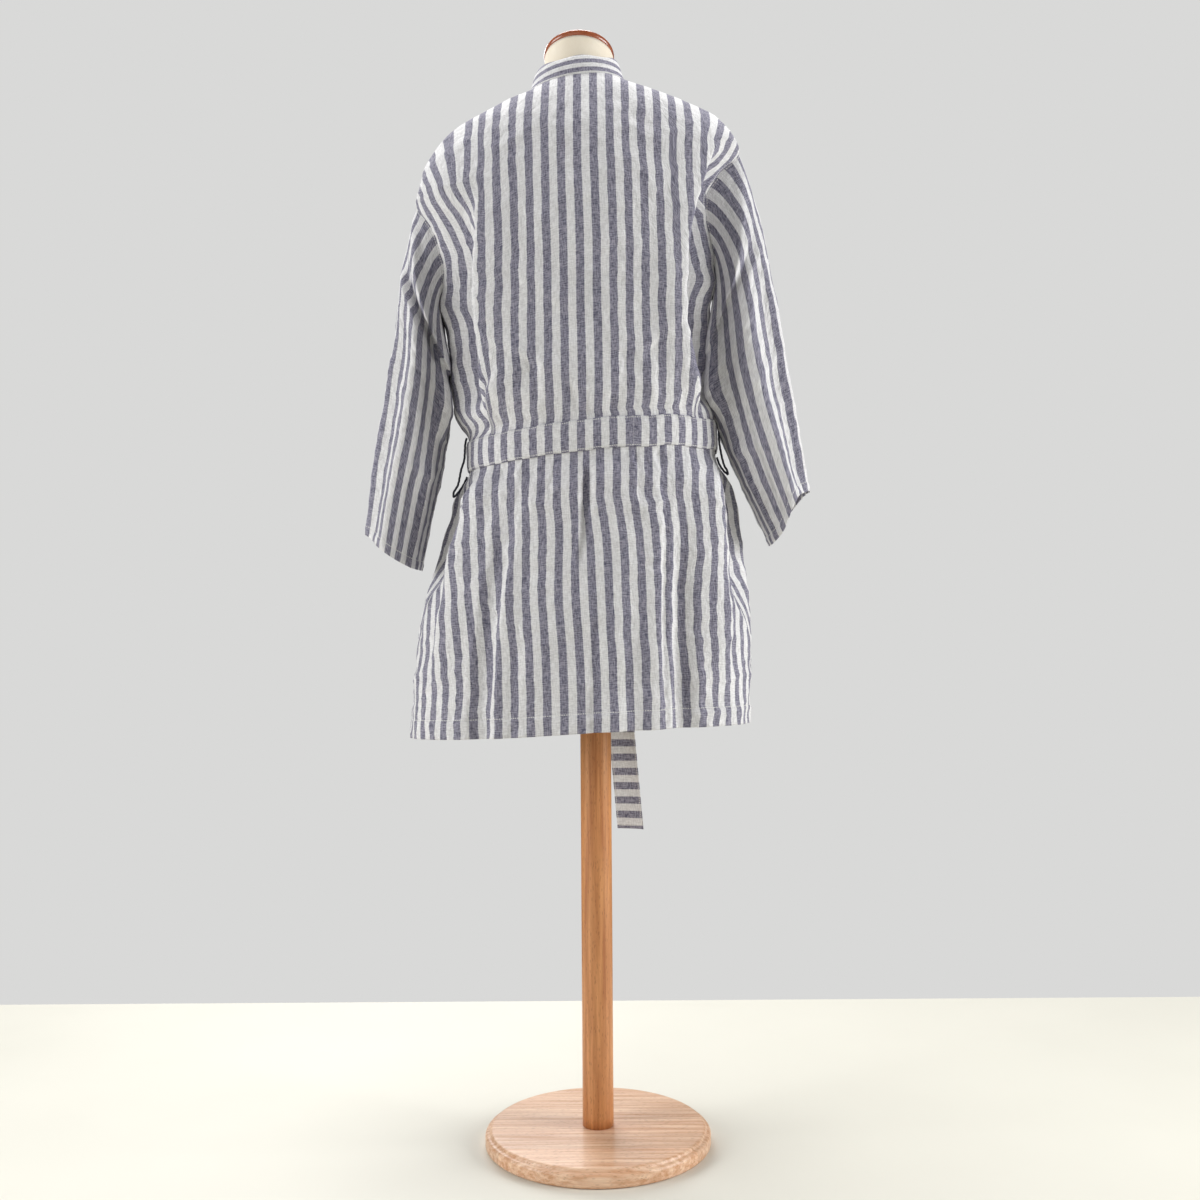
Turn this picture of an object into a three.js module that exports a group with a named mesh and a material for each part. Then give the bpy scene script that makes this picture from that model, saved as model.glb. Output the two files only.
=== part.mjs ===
// A short kimono robe with a tied sash, worn by a limbless dress form on a round wooden stand.
// Millimetres, +Z up. The origin is the centre of the stand's underside. The robe's front faces -Y,
// its back +Y, and the wearer's left side is at +X.
//
// Every cloth piece lies on one shell: a point at an angle round the body and at a height. Angles run
// from the left side (0) over the back (90) to the right side (180) and the front (270). A layer lies a
// little further out from the shell than the one under it, so the layers never cross.
import * as THREE from 'three';

// ---- driving sizes ----
const CLOTH = 1.2;            // one layer of the linen
const DOUBLED = 2.4;          // the neckband and the sash, which are sewn double
const SEAM_GAP = 0.3;         // between two pieces at a seam
const LAYER_GAP = 1.1;        // between two pieces that lie on each other
const SASH = { height: 42, left: 976, back: 992, right: 1002, front: 986, gap: 0.8, tuck: 3 };
const WAIST = { left: 175, right: 177, back: 115.5, front: 112, square: 2.15, blend: 46 };
const ARMHOLE = {
  left: { top: 1342, bottom: 1181, depth: 42 },
  right: { top: 1417, bottom: 1222, depth: 32 },
};
const STAND = { discHeight: 24, poleRadius: 22 };
const FORM = { bottom: 830, top: 1557, lean: 0.0245, shoulderSlope: 0.04, neckStart: 1512, neckTip: 0.28,
  clear: 2.2 };
const KNOT = { angle: 268, tilt: 35, thick: 11, crease: 0.16, creases: 5, gap: -0.3 };
const STRAP = { width: 5, thick: 1.6, rows: 20, turn: 2.5 };
const COLUMNS = { back: 34, front: 15, sleeve: 18, sash: 64, form: 32, knot: 20, pole: 32, base: 48 };
const COLUMN_SPREAD = 2.2;    // least angle between two columns of the back, in degrees
const SLANT = { turn: 2, rise: 4, most: 2.4 };  // steps over which the shell's slope is read, and its limit

// ---- finishes ----
const LINEN = { color: '#b4b3bf', roughness: 0.95 };
const FORM_CLOTH = { color: '#efe5cf', roughness: 0.9 };
const VARNISHED_WOOD = { color: '#a9603a', roughness: 0.3 };
const WOOD = { color: '#d9a984', roughness: 0.55 };

const radians = THREE.MathUtils.degToRad;
const lerp = THREE.MathUtils.lerp;
const clamp01 = (t) => THREE.MathUtils.clamp(t, 0, 1);
const smooth = (t) => clamp01(t) ** 2 * (3 - 2 * clamp01(t));
const bump = (t) => (Math.abs(t) < 1 ? (1 - t * t) ** 2 : 0);

// ---- tables ----

/** Rows of numbers under named columns, read at any value of the first column by a smooth curve that
 *  doesn't overshoot: a cubic whose slope at a row is the harmonic mean of the slopes beside it. */
function table(names, rows) {
  const xs = rows.map((row) => row[0]);
  const slopes = (ys) => {
    const steps = xs.slice(1).map((x, i) => (ys[i + 1] - ys[i]) / (x - xs[i]));
    return xs.map((_, i) => {
      const before = steps[Math.max(i - 1, 0)];
      const after = steps[Math.min(i, steps.length - 1)];
      return before * after > 0 ? (2 * before * after) / (before + after) : 0;
    });
  };
  const columns = names.slice(1).map((name, k) => {
    const ys = rows.map((row) => row[k + 1]);
    return { name, ys, slopes: slopes(ys) };
  });
  return (x) => {
    const at = THREE.MathUtils.clamp(x, xs[0], xs[xs.length - 1]);
    const i = Math.max(0, Math.min(xs.length - 2, xs.findIndex((edge) => edge > at) - 1 + (at >= xs[xs.length - 1]
      ? xs.length : 0)));
    const width = xs[i + 1] - xs[i];
    const t = (at - xs[i]) / width;
    const read = {};
    for (const { name, ys, slopes: m } of columns) {
      read[name] = ys[i] * (1 + 2 * t) * (1 - t) ** 2 + m[i] * width * t * (1 - t) ** 2
        + ys[i + 1] * t * t * (3 - 2 * t) + m[i + 1] * width * t * t * (t - 1);
    }
    return read;
  };
}

/** The robe's level sections: the axis they are measured from, and how far they reach each way. */
const BODY = table(['z', 'axis', 'left', 'right', 'back', 'front', 'square'], [
  [560, 21, 241, 240, 152, 147, 2.2],
  [660, 20, 236, 239, 146, 142, 2.2],
  [740, 16, 230, 235, 141, 138, 2.2],
  [800, 12, 220, 227, 136, 134, 2.2],
  [860, 6, 208, 216, 131, 129, 2.2],
  [915, 3, 196, 205, 126, 124, 2.2],
  [1040, 4, 196, 172, 121, 120, 2.3],
  [1100, 8, 195, 170, 119, 125, 2.4],
  [1150, 11, 196, 172, 118, 129, 2.5],
  [1190, 13, 203, 178, 118, 132, 2.5],
  [1222, 14, 200, 187, 117, 133, 2.5],
  [1260, 14, 204, 185, 116, 132, 2.5],
  [1300, 14, 217, 186, 114, 128, 2.5],
  [1342, 15, 236, 197, 110, 120, 2.5],
  [1380, 15, 228, 213, 105, 110, 2.4],
  [1417, 16, 210, 228, 98, 98, 2.3],
  [1440, 16, 190, 218, 92, 90, 2.2],
  [1464, 16, 151, 197, 84, 80, 2.1],
  [1483, 16, 118, 160, 77, 72, 2.0],
  [1498, 16, 80, 119, 70, 65, 2.0],
  [1509, 16, 70, 84, 64, 62, 2.0],
  [1517, 17, 67, 66, 63, 60, 2.0],
  [1548, 18, 58, 56, 56, 55, 2.0],
]);

/** Soft folds that run up and down the robe: where each starts and ends, its angle at both ends, how
 *  far it stands out (or in, if negative) and its half width in degrees. */
const FOLDS = [
  // name,                 top,  bottom, angle at top, at bottom, out, half width
  ['left blade ridge', 1395, 1010, 35, 35, 9, 11],
  ['left underarm hollow', 1390, 1020, 23, 21, -20, 12],
  ['right blade ridge', 1400, 1010, 145, 146, 9, 11],
  ['right underarm hollow', 1420, 1020, 157, 158, -20, 12],
  ['left blouse fold', 1160, 1005, 50, 44, 6, 9],
  ['centre pleat', 975, 720, 87, 85, -8, 10],
  ['left hip hollow', 965, 770, 11, 13, -16, 10],
  ['left hip ridge', 960, 640, 24, 26, 7, 10],
  ['left skirt fold', 950, 560, 43, 43, -8, 8],
  ['right skirt fold', 950, 560, 139, 138, -12, 9],
  ['right hip hollow', 965, 740, 168, 167, -14, 9],
  ['right hip ridge', 960, 640, 154, 155, 6, 9],
  ['left front fold', 950, 560, 322, 318, -9, 10],
  ['right front fold', 950, 560, 222, 226, -9, 10],
  ['left bust fold', 1175, 1005, 320, 316, -8, 13],
  ['right bust fold', 1175, 1005, 221, 225, -8, 13],
].map(([name, top, bottom, angleTop, angleBottom, out, width]) => (
  { name, top, bottom, angleTop, angleBottom, out, width }));
const FOLD_FADE = 70;         // the length over which a fold comes and goes

/** The front's cut edge on either side, from the neck's side down to the hem: its height, its angle from
 *  that side, the further angle that the neckband covers, and how far the band's free edge rises. */
const EDGE = table(['z', 'seam', 'band', 'rise'], [
  [585, 110.5, 13, 0], [750, 108, 14, 0], [900, 105, 15, 1], [989, 101.5, 15.5, 2], [1040, 93, 15, 5],
  [1100, 86.5, 14.5, 6], [1180, 79.5, 14, 6], [1260, 72, 14.5, 6], [1340, 63.5, 16, 6], [1410, 53, 20, 8],
  [1455, 43, 21, 11], [1484, 31, 15, 18], [1497, 16, 6, 24], [1501, 0, 0, 26],
]);
const NECK = { left: 1501, right: 1517, stand: 26 };

/** Level lines of the body pieces, from the hem to the neck: the height at each side, how much higher
 *  the back is, and into how many rows the stretch above is divided. */
const LEVELS = [
  { left: 577, right: 595, rise: 5, rows: 5, ease: (t) => t },
  { left: 906, right: 932, rise: 3, rows: 2, ease: (t) => t },
  { left: 952, right: 978, rise: 3, rows: 1, ease: (t) => t },
  { left: 1000, right: 1026, rise: 3, rows: 1, ease: (t) => t },
  { left: 1028, right: 1054, rise: 3, rows: 3, ease: (t) => t },
  { left: 1181, right: 1222, rise: 0, rows: COLUMNS.sleeve / 2, ease: (t) => (1 - Math.cos(Math.PI * t)) / 2 },
  { left: 1342, right: 1417, rise: 0, rows: 7, ease: (t) => 1 - (1 - t) ** 2.2 },
  { left: 1501, right: 1517, rise: 0, rows: 0 },
];
const ROWS = LEVELS.flatMap((low, k) => {
  const high = LEVELS[k + 1] ?? low;
  return Array.from({ length: Math.max(low.rows, 1) }, (_, i) => {
    const t = low.rows ? low.ease(i / low.rows) : 0;
    return {
      left: lerp(low.left, high.left, t),
      right: lerp(low.right, high.right, t),
      rise: lerp(low.rise, high.rise, t),
      armhole: k === 5 ? Math.sin(Math.PI * (i / low.rows)) : 0,
    };
  });
});

/** Sleeves: the outer and the inner line of the hanging tube, and its half depth, from armhole to cuff. */
const SLEEVE = {
  left: table(['along', 'outerX', 'outerZ', 'innerX', 'innerZ', 'depth'], [
    [0, 252, 1342, 217, 1181, 42], [0.12, 265, 1296, 214, 1152, 52], [0.25, 277, 1240, 211, 1116, 60],
    [0.45, 285, 1150, 211, 1052, 67], [0.65, 298, 1060, 218, 985, 70], [0.85, 314, 958, 234, 900, 72],
    [1, 326, 867, 252, 816, 72],
  ]),
  right: table(['along', 'outerX', 'outerZ', 'innerX', 'innerZ', 'depth'], [
    [0, -213, 1417, -177, 1222, 32], [0.12, -232, 1362, -178, 1184, 46], [0.25, -246, 1300, -177, 1142, 56],
    [0.45, -267, 1190, -178, 1075, 64], [0.65, -281, 1085, -187, 1018, 68], [0.85, -297, 985, -216, 928, 68],
    [1, -307, 922, -254, 849, 66],
  ]),
};
const SLEEVE_ROWS = 12;
/** Lengthwise creases of a sleeve: turn round the tube (0 outer line, 90 back, 180 inner line). */
const SLEEVE_FOLDS = [
  // turn, half width, out, from, to along the sleeve
  [58, 26, -9, 0.2, 1.1], [118, 24, -10, 0.05, 0.75], [242, 26, -9, 0.1, 0.9], [305, 26, -8, 0.25, 1.1],
  [88, 20, 6, 0.3, 1.1], [272, 22, 5, 0.3, 1.1],
].map(([turn, width, out, from, to]) => ({ turn, width, out, from, to }));

/** The dress form's level sections about its leaning axis. */
const FORM_RINGS = table(['z', 'half', 'back', 'front', 'square'], [
  [830, 152, 96, 98, 2.2], [870, 163, 104, 104, 2.2], [930, 170, 110, 108, 2.2], [990, 171, 112, 109, 2.15],
  [1060, 148, 101, 99, 2.1], [1120, 125, 91, 90, 2.1], [1180, 132, 96, 104, 2.1], [1250, 140, 103, 120, 2.1],
  [1300, 142, 104, 118, 2.1], [1350, 150, 101, 108, 2.2], [1400, 166, 95, 96, 2.3], [1430, 172, 89, 87, 2.2],
  [1450, 163, 84, 80, 2.1], [1467, 148, 80, 75, 2.0], [1484, 120, 74, 69, 2.0], [1499, 78, 66, 61, 2.0],
  [1512, 58, 57, 54, 2.0], [1530, 52, 52, 50, 2.0], [1563, 49.5, 49.5, 49.5, 2.0],
]);

const FORM_HEIGHTS = [830, 838, 870, 930, 990, 1060, 1120, 1180, 1250, 1300, 1350, 1400, 1430, 1450, 1467, 1484,
  1499, 1512, 1530, FORM.top];

/** The knot's rings along its own length: how far along, half width and half depth. */
const KNOT_RINGS = [[-24, 5, 4], [-20, 13, 8], [-12, 19, 10.5], [0, 21, 11], [12, 19, 10.5], [20, 13, 8], [24, 5, 4]];

/** The tails: rows of height, middle, half width and how far it stands off, from the end to the knot. */
const TAIL_FREE = 600;        // below this height a tail hangs straight down
const TAILS = {
  long: {
    top: 968.8, rows: 12, gap: 1.4,
    lines: [[420, -52.5, 20, 6], [570, -40, 20, 2], [760, -25, 20, 0], [900, -15, 17, 0], [968.8, -9, 10, 2.5]],
  },
  short: {
    top: 970.3, rows: 8, gap: 1.4,
    lines: [[655, 56, 19.5, 3], [760, 45, 19.5, 1], [900, 27, 17, 0], [970.3, 14, 9, 2.5]],
  },
};

/** The belt loops, side on, as height from the sash's middle and distance out from the shell: each
 *  leaves the side seam above the sash and droops back to it below. */
const LOOPS = {
  left: [[29, 3.8], [20, 6.6], [0, 8], [-17, 13], [-38, 13], [-52, 11], [-56, 8], [-50, 5.8], [-38, 5],
    [-27, 4.1]],
  right: [[29, 3.4], [20, 6.6], [0, 6.8], [-18, 9], [-38, 10.5], [-48, 9.5], [-52, 7], [-47, 5], [-37, 4.2],
    [-27, 3.3]],
};

/** The neck cap and the base, as radii and heights. */
const CAP_RINGS = [[49.5, 0], [51, 1.5], [51, 6], [49, 8.5], [44, 10]];
const BASE_OUTLINE = [[158, 0], [160, 2], [160, 16], [158, 18.5], [154.5, 19.5], [153, 21], [152, 23], [150, 24]];

// ---- solids from grids of points ----

/** A closed solid from two grids of points of one size, an inner and an outer, each a list of rows.
 *  A wrapped grid closes on itself across; otherwise its sides are closed by rims, as its ends are. */
function wall(inner, outer, wrapped = false) {
  const rows = outer.length;
  const across = outer[0].length;
  const grids = [outer, inner];
  const positions = grids.flatMap((grid) => grid.flatMap((row) => row.flatMap((p) => [p.x, p.y, p.z])));
  const at = (side, i, j) => side * rows * across + i * across + (j % across);
  const triangles = [];
  const quad = (a, b, c, d) => triangles.push(a, b, c, a, c, d);
  const spans = wrapped ? across : across - 1;
  for (let i = 0; i < rows - 1; i += 1) {
    for (let j = 0; j < spans; j += 1) {
      quad(at(0, i, j), at(0, i, j + 1), at(0, i + 1, j + 1), at(0, i + 1, j));
      quad(at(1, i + 1, j), at(1, i + 1, j + 1), at(1, i, j + 1), at(1, i, j));
    }
  }
  for (let j = 0; j < spans; j += 1) {
    quad(at(1, 0, j), at(1, 0, j + 1), at(0, 0, j + 1), at(0, 0, j));
    quad(at(0, rows - 1, j), at(0, rows - 1, j + 1), at(1, rows - 1, j + 1), at(1, rows - 1, j));
  }
  for (let i = 0; i < rows - 1 && !wrapped; i += 1) {
    quad(at(0, i, 0), at(0, i + 1, 0), at(1, i + 1, 0), at(1, i, 0));
    quad(at(1, i, across - 1), at(1, i + 1, across - 1), at(0, i + 1, across - 1), at(0, i, across - 1));
  }
  return closed(positions, triangles);
}

/** A closed solid lofted through rings of points, its two ends closed by fans from their middles. */
function loft(rings) {
  const around = rings[0].length;
  const middle = (ring) => ring.reduce((sum, p) => sum.add(p), new THREE.Vector3()).divideScalar(around);
  const ends = [middle(rings[0]), middle(rings[rings.length - 1])];
  const positions = [...rings.flat(), ...ends].flatMap((p) => [p.x, p.y, p.z]);
  const at = (i, j) => i * around + (j % around);
  const triangles = [];
  for (let j = 0; j < around; j += 1) {
    for (let i = 0; i < rings.length - 1; i += 1) {
      triangles.push(at(i, j), at(i, j + 1), at(i + 1, j + 1), at(i, j), at(i + 1, j + 1), at(i + 1, j));
    }
    triangles.push(at(0, j + 1), at(0, j), rings.length * around);
    triangles.push(at(rings.length - 1, j), at(rings.length - 1, j + 1), rings.length * around + 1);
  }
  return closed(positions, triangles);
}

/** A geometry from its corners and triangles, turned so that its faces point out. */
function closed(positions, triangles) {
  const corner = (k) => new THREE.Vector3().fromArray(positions, 3 * k);
  let volume = 0;
  for (let k = 0; k < triangles.length; k += 3) {
    volume += corner(triangles[k]).dot(corner(triangles[k + 1]).cross(corner(triangles[k + 2])));
  }
  const geometry = new THREE.BufferGeometry();
  geometry.setAttribute('position', new THREE.Float32BufferAttribute(positions, 3));
  geometry.setIndex(volume < 0 ? triangles.reverse() : triangles);
  geometry.computeVertexNormals();
  return geometry;
}

// ---- the shell that the cloth lies on ----

/** Distance from the axis of a section with its own reach to the left, right, back and front. */
function sectionRadius(angle, { left, right, back, front, square }) {
  const across = Math.cos(angle) / (Math.cos(angle) > 0 ? left : right);
  const deep = Math.sin(angle) / (Math.sin(angle) > 0 ? back : front);
  return (Math.abs(across) ** square + Math.abs(deep) ** square) ** (-1 / square);
}

/** Height of the sash's middle at an angle: it dips to the left side. */
const sashHeight = (angle) => (SASH.left + SASH.right) / 2 + ((SASH.left - SASH.right) / 2) * Math.cos(angle)
  + ((SASH.back - SASH.front) / 2) * Math.sin(angle);

/** How far a height is from the sash: 0 where the sash holds the cloth flat, 1 where the cloth is free. */
function freedom(angle, z) {
  const away = Math.abs(z - sashHeight(angle)) - (SASH.height / 2 + SASH.tuck);
  return smooth(away / WAIST.blend);
}

function foldHeight(degrees, z) {
  return FOLDS.reduce((sum, fold) => {
    const t = clamp01((fold.top - z) / (fold.top - fold.bottom));
    const angle = lerp(fold.angleTop, fold.angleBottom, t);
    const away = THREE.MathUtils.euclideanModulo(degrees - angle + 180, 360) - 180;
    const fade = smooth((fold.top - z) / FOLD_FADE)
      * (fold.bottom < LEVELS[0].left ? 1 : smooth((z - fold.bottom) / FOLD_FADE));
    return sum + fold.out * fade * bump(away / fold.width);
  }, 0);
}

/** Distance of the shell from its axis. Angles are in degrees. */
function shellRadius(degrees, z) {
  const angle = radians(degrees);
  const free = freedom(angle, z);
  return lerp(sectionRadius(angle, WAIST), sectionRadius(angle, BODY(z)), free) + foldHeight(degrees, z) * free;
}

/** How much further out along the radius a layer lies where the shell slopes, to keep its thickness. */
function slant(degrees, z) {
  const across = (shellRadius(degrees + SLANT.turn, z) - shellRadius(degrees - SLANT.turn, z))
    / (2 * radians(SLANT.turn) * shellRadius(degrees, z));
  const up = (shellRadius(degrees, z + SLANT.rise) - shellRadius(degrees, z - SLANT.rise)) / (2 * SLANT.rise);
  return Math.min(SLANT.most, Math.hypot(1, across, up));
}

/** A point of the shell, or one moved out from it. */
function shell(degrees, z, out = 0) {
  const angle = radians(degrees);
  const radius = shellRadius(degrees, z) + (out ? out * slant(degrees, z) : 0);
  return new THREE.Vector3(BODY(z).axis + radius * Math.cos(angle), radius * Math.sin(angle), z);
}

/** How far the side seams sit round to the back, in degrees: most at the hips. */
const SEAM_TURN = table(['z', 'left', 'right'], [
  [577, 2, 2], [650, 4, 5], [740, 10, 12], [830, 16, 19], [920, 16, 20], [975, 11, 12], [1030, 4, 4], [1100, 0, 0],
]);

/** Height of a level line at an angle. */
const levelHeight = (row, degrees) => (row.left + row.right) / 2
  + ((row.left - row.right) / 2) * Math.cos(radians(degrees)) + row.rise * Math.sin(radians(degrees));

/** Angle from the side to a piece's edge there, counted towards the piece: half a seam gap, or the open
 *  half of the armhole, and the turn of the side seam. */
function sideAngle(row, side, piece = 'back') {
  const reach = BODY(row[side])[side];
  const turn = SEAM_TURN(row[side])[side] * (piece === 'back' ? 1 : -1);
  return turn + THREE.MathUtils.radToDeg((SEAM_GAP / 2 + row.armhole * ARMHOLE[side].depth) / reach);
}

/** Angles of a piece's columns, counted from its edge at one side to its middle: evenly spread, save that
 *  those which the edge would pass keep ahead of it. */
function columnAngle(edge, even, j) {
  return Math.max(even, edge + COLUMN_SPREAD * j);
}

// ---- the robe's pieces ----

function backPanel() {
  const grid = (out) => ROWS.map((row) => Array.from({ length: COLUMNS.back + 1 }, (_, j) => {
    const even = (180 * j) / COLUMNS.back;
    const degrees = even < 90 ? columnAngle(sideAngle(row, 'left'), even, j)
      : 180 - columnAngle(sideAngle(row, 'right'), 180 - even, COLUMNS.back - j);
    return shell(degrees, levelHeight(row, degrees), out);
  }));
  return wall(grid(0), grid(CLOTH));
}

/** The angle round the body of a point that lies so many degrees from one side, towards the front. */
const towardsFront = (side, degrees) => (side === 'left' ? 360 - degrees : 180 + degrees);

/** How far out the left front lies, over the right front and its band. */
function lift(side, degrees, z) {
  if (side === 'right') return 0;
  const fromSide = 360 - degrees;
  return (DOUBLED + LAYER_GAP) * smooth((fromSide - 38) / 22) * smooth((1330 - z) / 90);
}

/** Where a level line meets the front's cut edge, and the angle that a seam gap across the edge takes. */
function edgeOn(row, side) {
  let z = row[side];
  for (let k = 0; k < 6; k += 1) z = levelHeight(row, towardsFront(side, EDGE(edgeLevel(z, side)).seam));
  const edge = EDGE(edgeLevel(z, side));
  const radius = sectionRadius(radians(towardsFront(side, edge.seam)), BODY(z));
  const slope = radius * radians(EDGE(edgeLevel(z, side) - 1).seam - EDGE(edgeLevel(z, side) + 1).seam) / 2;
  const gap = THREE.MathUtils.radToDeg((SEAM_GAP * Math.hypot(1, slope)) / radius);
  return { z, gap, ...edge };
}

/** The front edge's own height scale: the two sides' necks lie at different heights. */
function edgeLevel(z, side) {
  return z - (NECK[side] - NECK.left) * smooth((z - 1380) / 130);
}

const FRONT_ROWS = ROWS.slice(0, -1);

function frontPanel(side) {
  const grid = (out) => FRONT_ROWS.map((row) => {
    const { seam, gap } = edgeOn(row, side);
    return Array.from({ length: COLUMNS.front + 1 }, (_, j) => {
      const degrees = towardsFront(side, lerp(sideAngle(row, side, 'front'), seam - gap, j / COLUMNS.front));
      const z = levelHeight(row, degrees);
      return shell(degrees, z, out + lift(side, degrees, z));
    });
  });
  return wall(grid(0), grid(CLOTH));
}

/** The neckband: one double strip from the hem of the right front, round the neck, to the left hem. */
function neckband() {
  const front = (side) => FRONT_ROWS.map((row) => {
    const { seam, band, rise } = edgeOn(row, side);
    return { degrees: towardsFront(side, seam), row, turn: side === 'left' ? -band : band, rise, side };
  });
  const nape = Array.from({ length: COLUMNS.back / 2 + 1 }, (_, j) => {
    const degrees = 180 - (180 * j) / (COLUMNS.back / 2);
    return { degrees, row: ROWS[ROWS.length - 1], turn: 0, rise: NECK.stand, start: SEAM_GAP };
  });
  const stations = [...front('right'), ...nape, ...front('left').reverse()];
  const grid = (out) => stations.map(({ degrees, row, turn, rise, side, start = 0 }) => [0, 0.5, 1].map((k) => {
    const angle = degrees + turn * k;
    const z = levelHeight(row, angle) + start + rise * k;
    return shell(angle, z, out + (side ? lift(side, angle, z) : 0));
  }));
  return wall(grid(0), grid(DOUBLED));
}

/** Where the sleeve's first ring lies: just outside the edges of the back and front at the armhole. */
function armholePoint(side, turn) {
  const half = COLUMNS.sleeve / 2;
  const fromTop = turn <= half ? turn : COLUMNS.sleeve - turn;
  const first = ROWS.length - 1 - LEVELS[6].rows;
  const row = ROWS[first - fromTop];
  const angle = sideAngle(row, side);
  const atBack = turn <= half;
  const degrees = side === 'left' ? (atBack ? angle : 360 - angle) : (atBack ? 180 - angle : 180 + angle);
  return shell(degrees, levelHeight(row, degrees), CLOTH + 1.6 * SEAM_GAP);
}

function sleeve(side) {
  const ring = (along) => Array.from({ length: COLUMNS.sleeve }, (_, turn) => {
    const t = radians((360 * turn) / COLUMNS.sleeve);
    const line = SLEEVE[side](along);
    const outer = new THREE.Vector3(line.outerX, 0, line.outerZ);
    const inner = new THREE.Vector3(line.innerX, 0, line.innerZ);
    const across = outer.clone().sub(inner).multiplyScalar(0.5);
    const normal = across.clone().normalize().multiplyScalar(Math.cos(t) * line.depth)
      .add(new THREE.Vector3(0, Math.sin(t) * across.length(), 0)).normalize();
    const fold = SLEEVE_FOLDS.reduce((sum, f) => {
      const away = THREE.MathUtils.euclideanModulo((360 * turn) / COLUMNS.sleeve - f.turn + 180, 360) - 180;
      return sum + f.out * bump(away / f.width) * smooth((along - f.from) / 0.2) * smooth((f.to - along) / 0.2);
    }, 0);
    const free = outer.clone().add(inner).multiplyScalar(0.5)
      .addScaledVector(across, Math.cos(t))
      .add(new THREE.Vector3(0, Math.sin(t) * line.depth, 0))
      .addScaledVector(normal, fold);
    return armholePoint(side, turn).lerp(free, smooth(along / 0.22));
  });
  const rings = Array.from({ length: SLEEVE_ROWS + 1 }, (_, i) => ring(i / SLEEVE_ROWS));
  return wall(insideOf(rings, side === 'left' ? CLOTH : -CLOTH), rings, true);
}

/** The inner wall of a tube of rings: each point moved in along the normal that its neighbours give. */
function insideOf(rings, thick) {
  const around = rings[0].length;
  return rings.map((ring, i) => ring.map((point, j) => {
    const along = rings[Math.min(i + 1, rings.length - 1)][j].clone().sub(rings[Math.max(i - 1, 0)][j]);
    const across = ring[(j + 1) % around].clone().sub(ring[(j + around - 1) % around]);
    return point.clone().addScaledVector(along.cross(across).normalize(), -thick);
  }));
}

// ---- the sash ----

/** How far out the cloth reaches under the sash: one layer, or more where the fronts overlap. */
function underSash(degrees, z) {
  const fromLeft = THREE.MathUtils.euclideanModulo(360 - degrees, 360);
  const upper = lift('left', degrees, z) + CLOTH;
  const bandEnd = EDGE(z).seam + EDGE(z).band;
  const onFront = smooth((fromLeft - 30) / 15) * smooth((bandEnd + 18 - fromLeft) / 10);
  return CLOTH + Math.max(0, upper + DOUBLED - CLOTH) * onFront;
}

function sashWrap() {
  const grid = (out) => [-0.5, 0.5].map((k) => Array.from({ length: COLUMNS.sash }, (_, j) => {
    const degrees = (360 * j) / COLUMNS.sash;
    const z = sashHeight(radians(degrees)) + k * SASH.height;
    return shell(degrees, z, underSash(degrees, z) + SASH.gap + out);
  }));
  return wall(grid(0), grid(DOUBLED), true);
}

/** A gathered knot over the sash's front: a lump with creases that run from one tail to the other. */
function sashKnot() {
  const rings = KNOT_RINGS.map(([along, half, thick]) => Array.from({ length: COLUMNS.knot }, (_, j) => {
    const t = (2 * Math.PI * j) / COLUMNS.knot;
    const crease = 1 - KNOT.crease * (1 + Math.cos(KNOT.creases * t)) / 2;
    return new THREE.Vector3(half * crease * Math.cos(t), thick * crease * Math.sin(t), along);
  }));
  const front = shell(KNOT.angle, sashHeight(radians(KNOT.angle)), underSash(KNOT.angle, SASH.front) + SASH.gap
    + DOUBLED + KNOT.gap);
  return loft(rings)
    .applyMatrix4(new THREE.Matrix4().makeRotationY(radians(KNOT.tilt)))
    .translate(front.x, front.y - KNOT.thick, front.z);
}

/** A tail of the sash: a double strip that hangs from the knot over the skirt's front. */
function sashTail({ lines, top, rows, gap }) {
  const line = table(['z', 'x', 'half', 'out'], lines);
  const bottom = lines[0][0];
  const grid = (out) => Array.from({ length: rows + 1 }, (_, i) => {
    const z = lerp(bottom, top, i / rows);
    const { x, half, out: away } = line(z);
    return [-1, -0.4, 0.4, 1].map((k) => {
      const ring = BODY(z);
      const degrees = 270 + THREE.MathUtils.radToDeg(Math.asin((x + half * k - ring.axis) / ring.front) * 0.93);
      const under = CLOTH + LAYER_GAP + 2 * DOUBLED + gap;
      const point = shell(degrees, Math.max(z, TAIL_FREE), under + away + out);
      return new THREE.Vector3(x + half * k, point.y, z);
    });
  });
  return wall(grid(0), grid(DOUBLED));
}

/** A belt loop: a strap of cloth swept along a curve in the plane of x and z, its width along y. */
function beltLoop(side) {
  const { width, thick, rows, turn } = STRAP;
  const degrees = side === 'left' ? turn : 180 - turn;
  const curve = new THREE.CatmullRomCurve3(LOOPS[side].map(([up, out]) => (
    shell(degrees, sashHeight(radians(degrees)) + up, out))));
  const grid = (out) => Array.from({ length: rows + 1 }, (_, i) => {
    const point = curve.getPointAt(i / rows);
    const tangent = curve.getTangentAt(i / rows);
    const normal = new THREE.Vector3(-tangent.z, 0, tangent.x).multiplyScalar(out * thick);
    return [-0.5, 0.5].map((k) => point.clone().add(normal).add(new THREE.Vector3(0, k * width, 0)));
  });
  return wall(grid(-0.5), grid(0.5));
}

// ---- the dress form and its stand ----

/** A point drawn in, where need be, so that it stays just inside the cloth. */
function underCloth(point) {
  const { axis } = BODY(point.z);
  const degrees = THREE.MathUtils.radToDeg(Math.atan2(point.y, point.x - axis));
  const limit = shell(degrees, point.z, -FORM.clear);
  const keep = Math.min(1, Math.hypot(limit.x - axis, limit.y) / Math.hypot(point.x - axis, point.y));
  return new THREE.Vector3(axis + (point.x - axis) * keep, point.y * keep, point.z);
}

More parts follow.
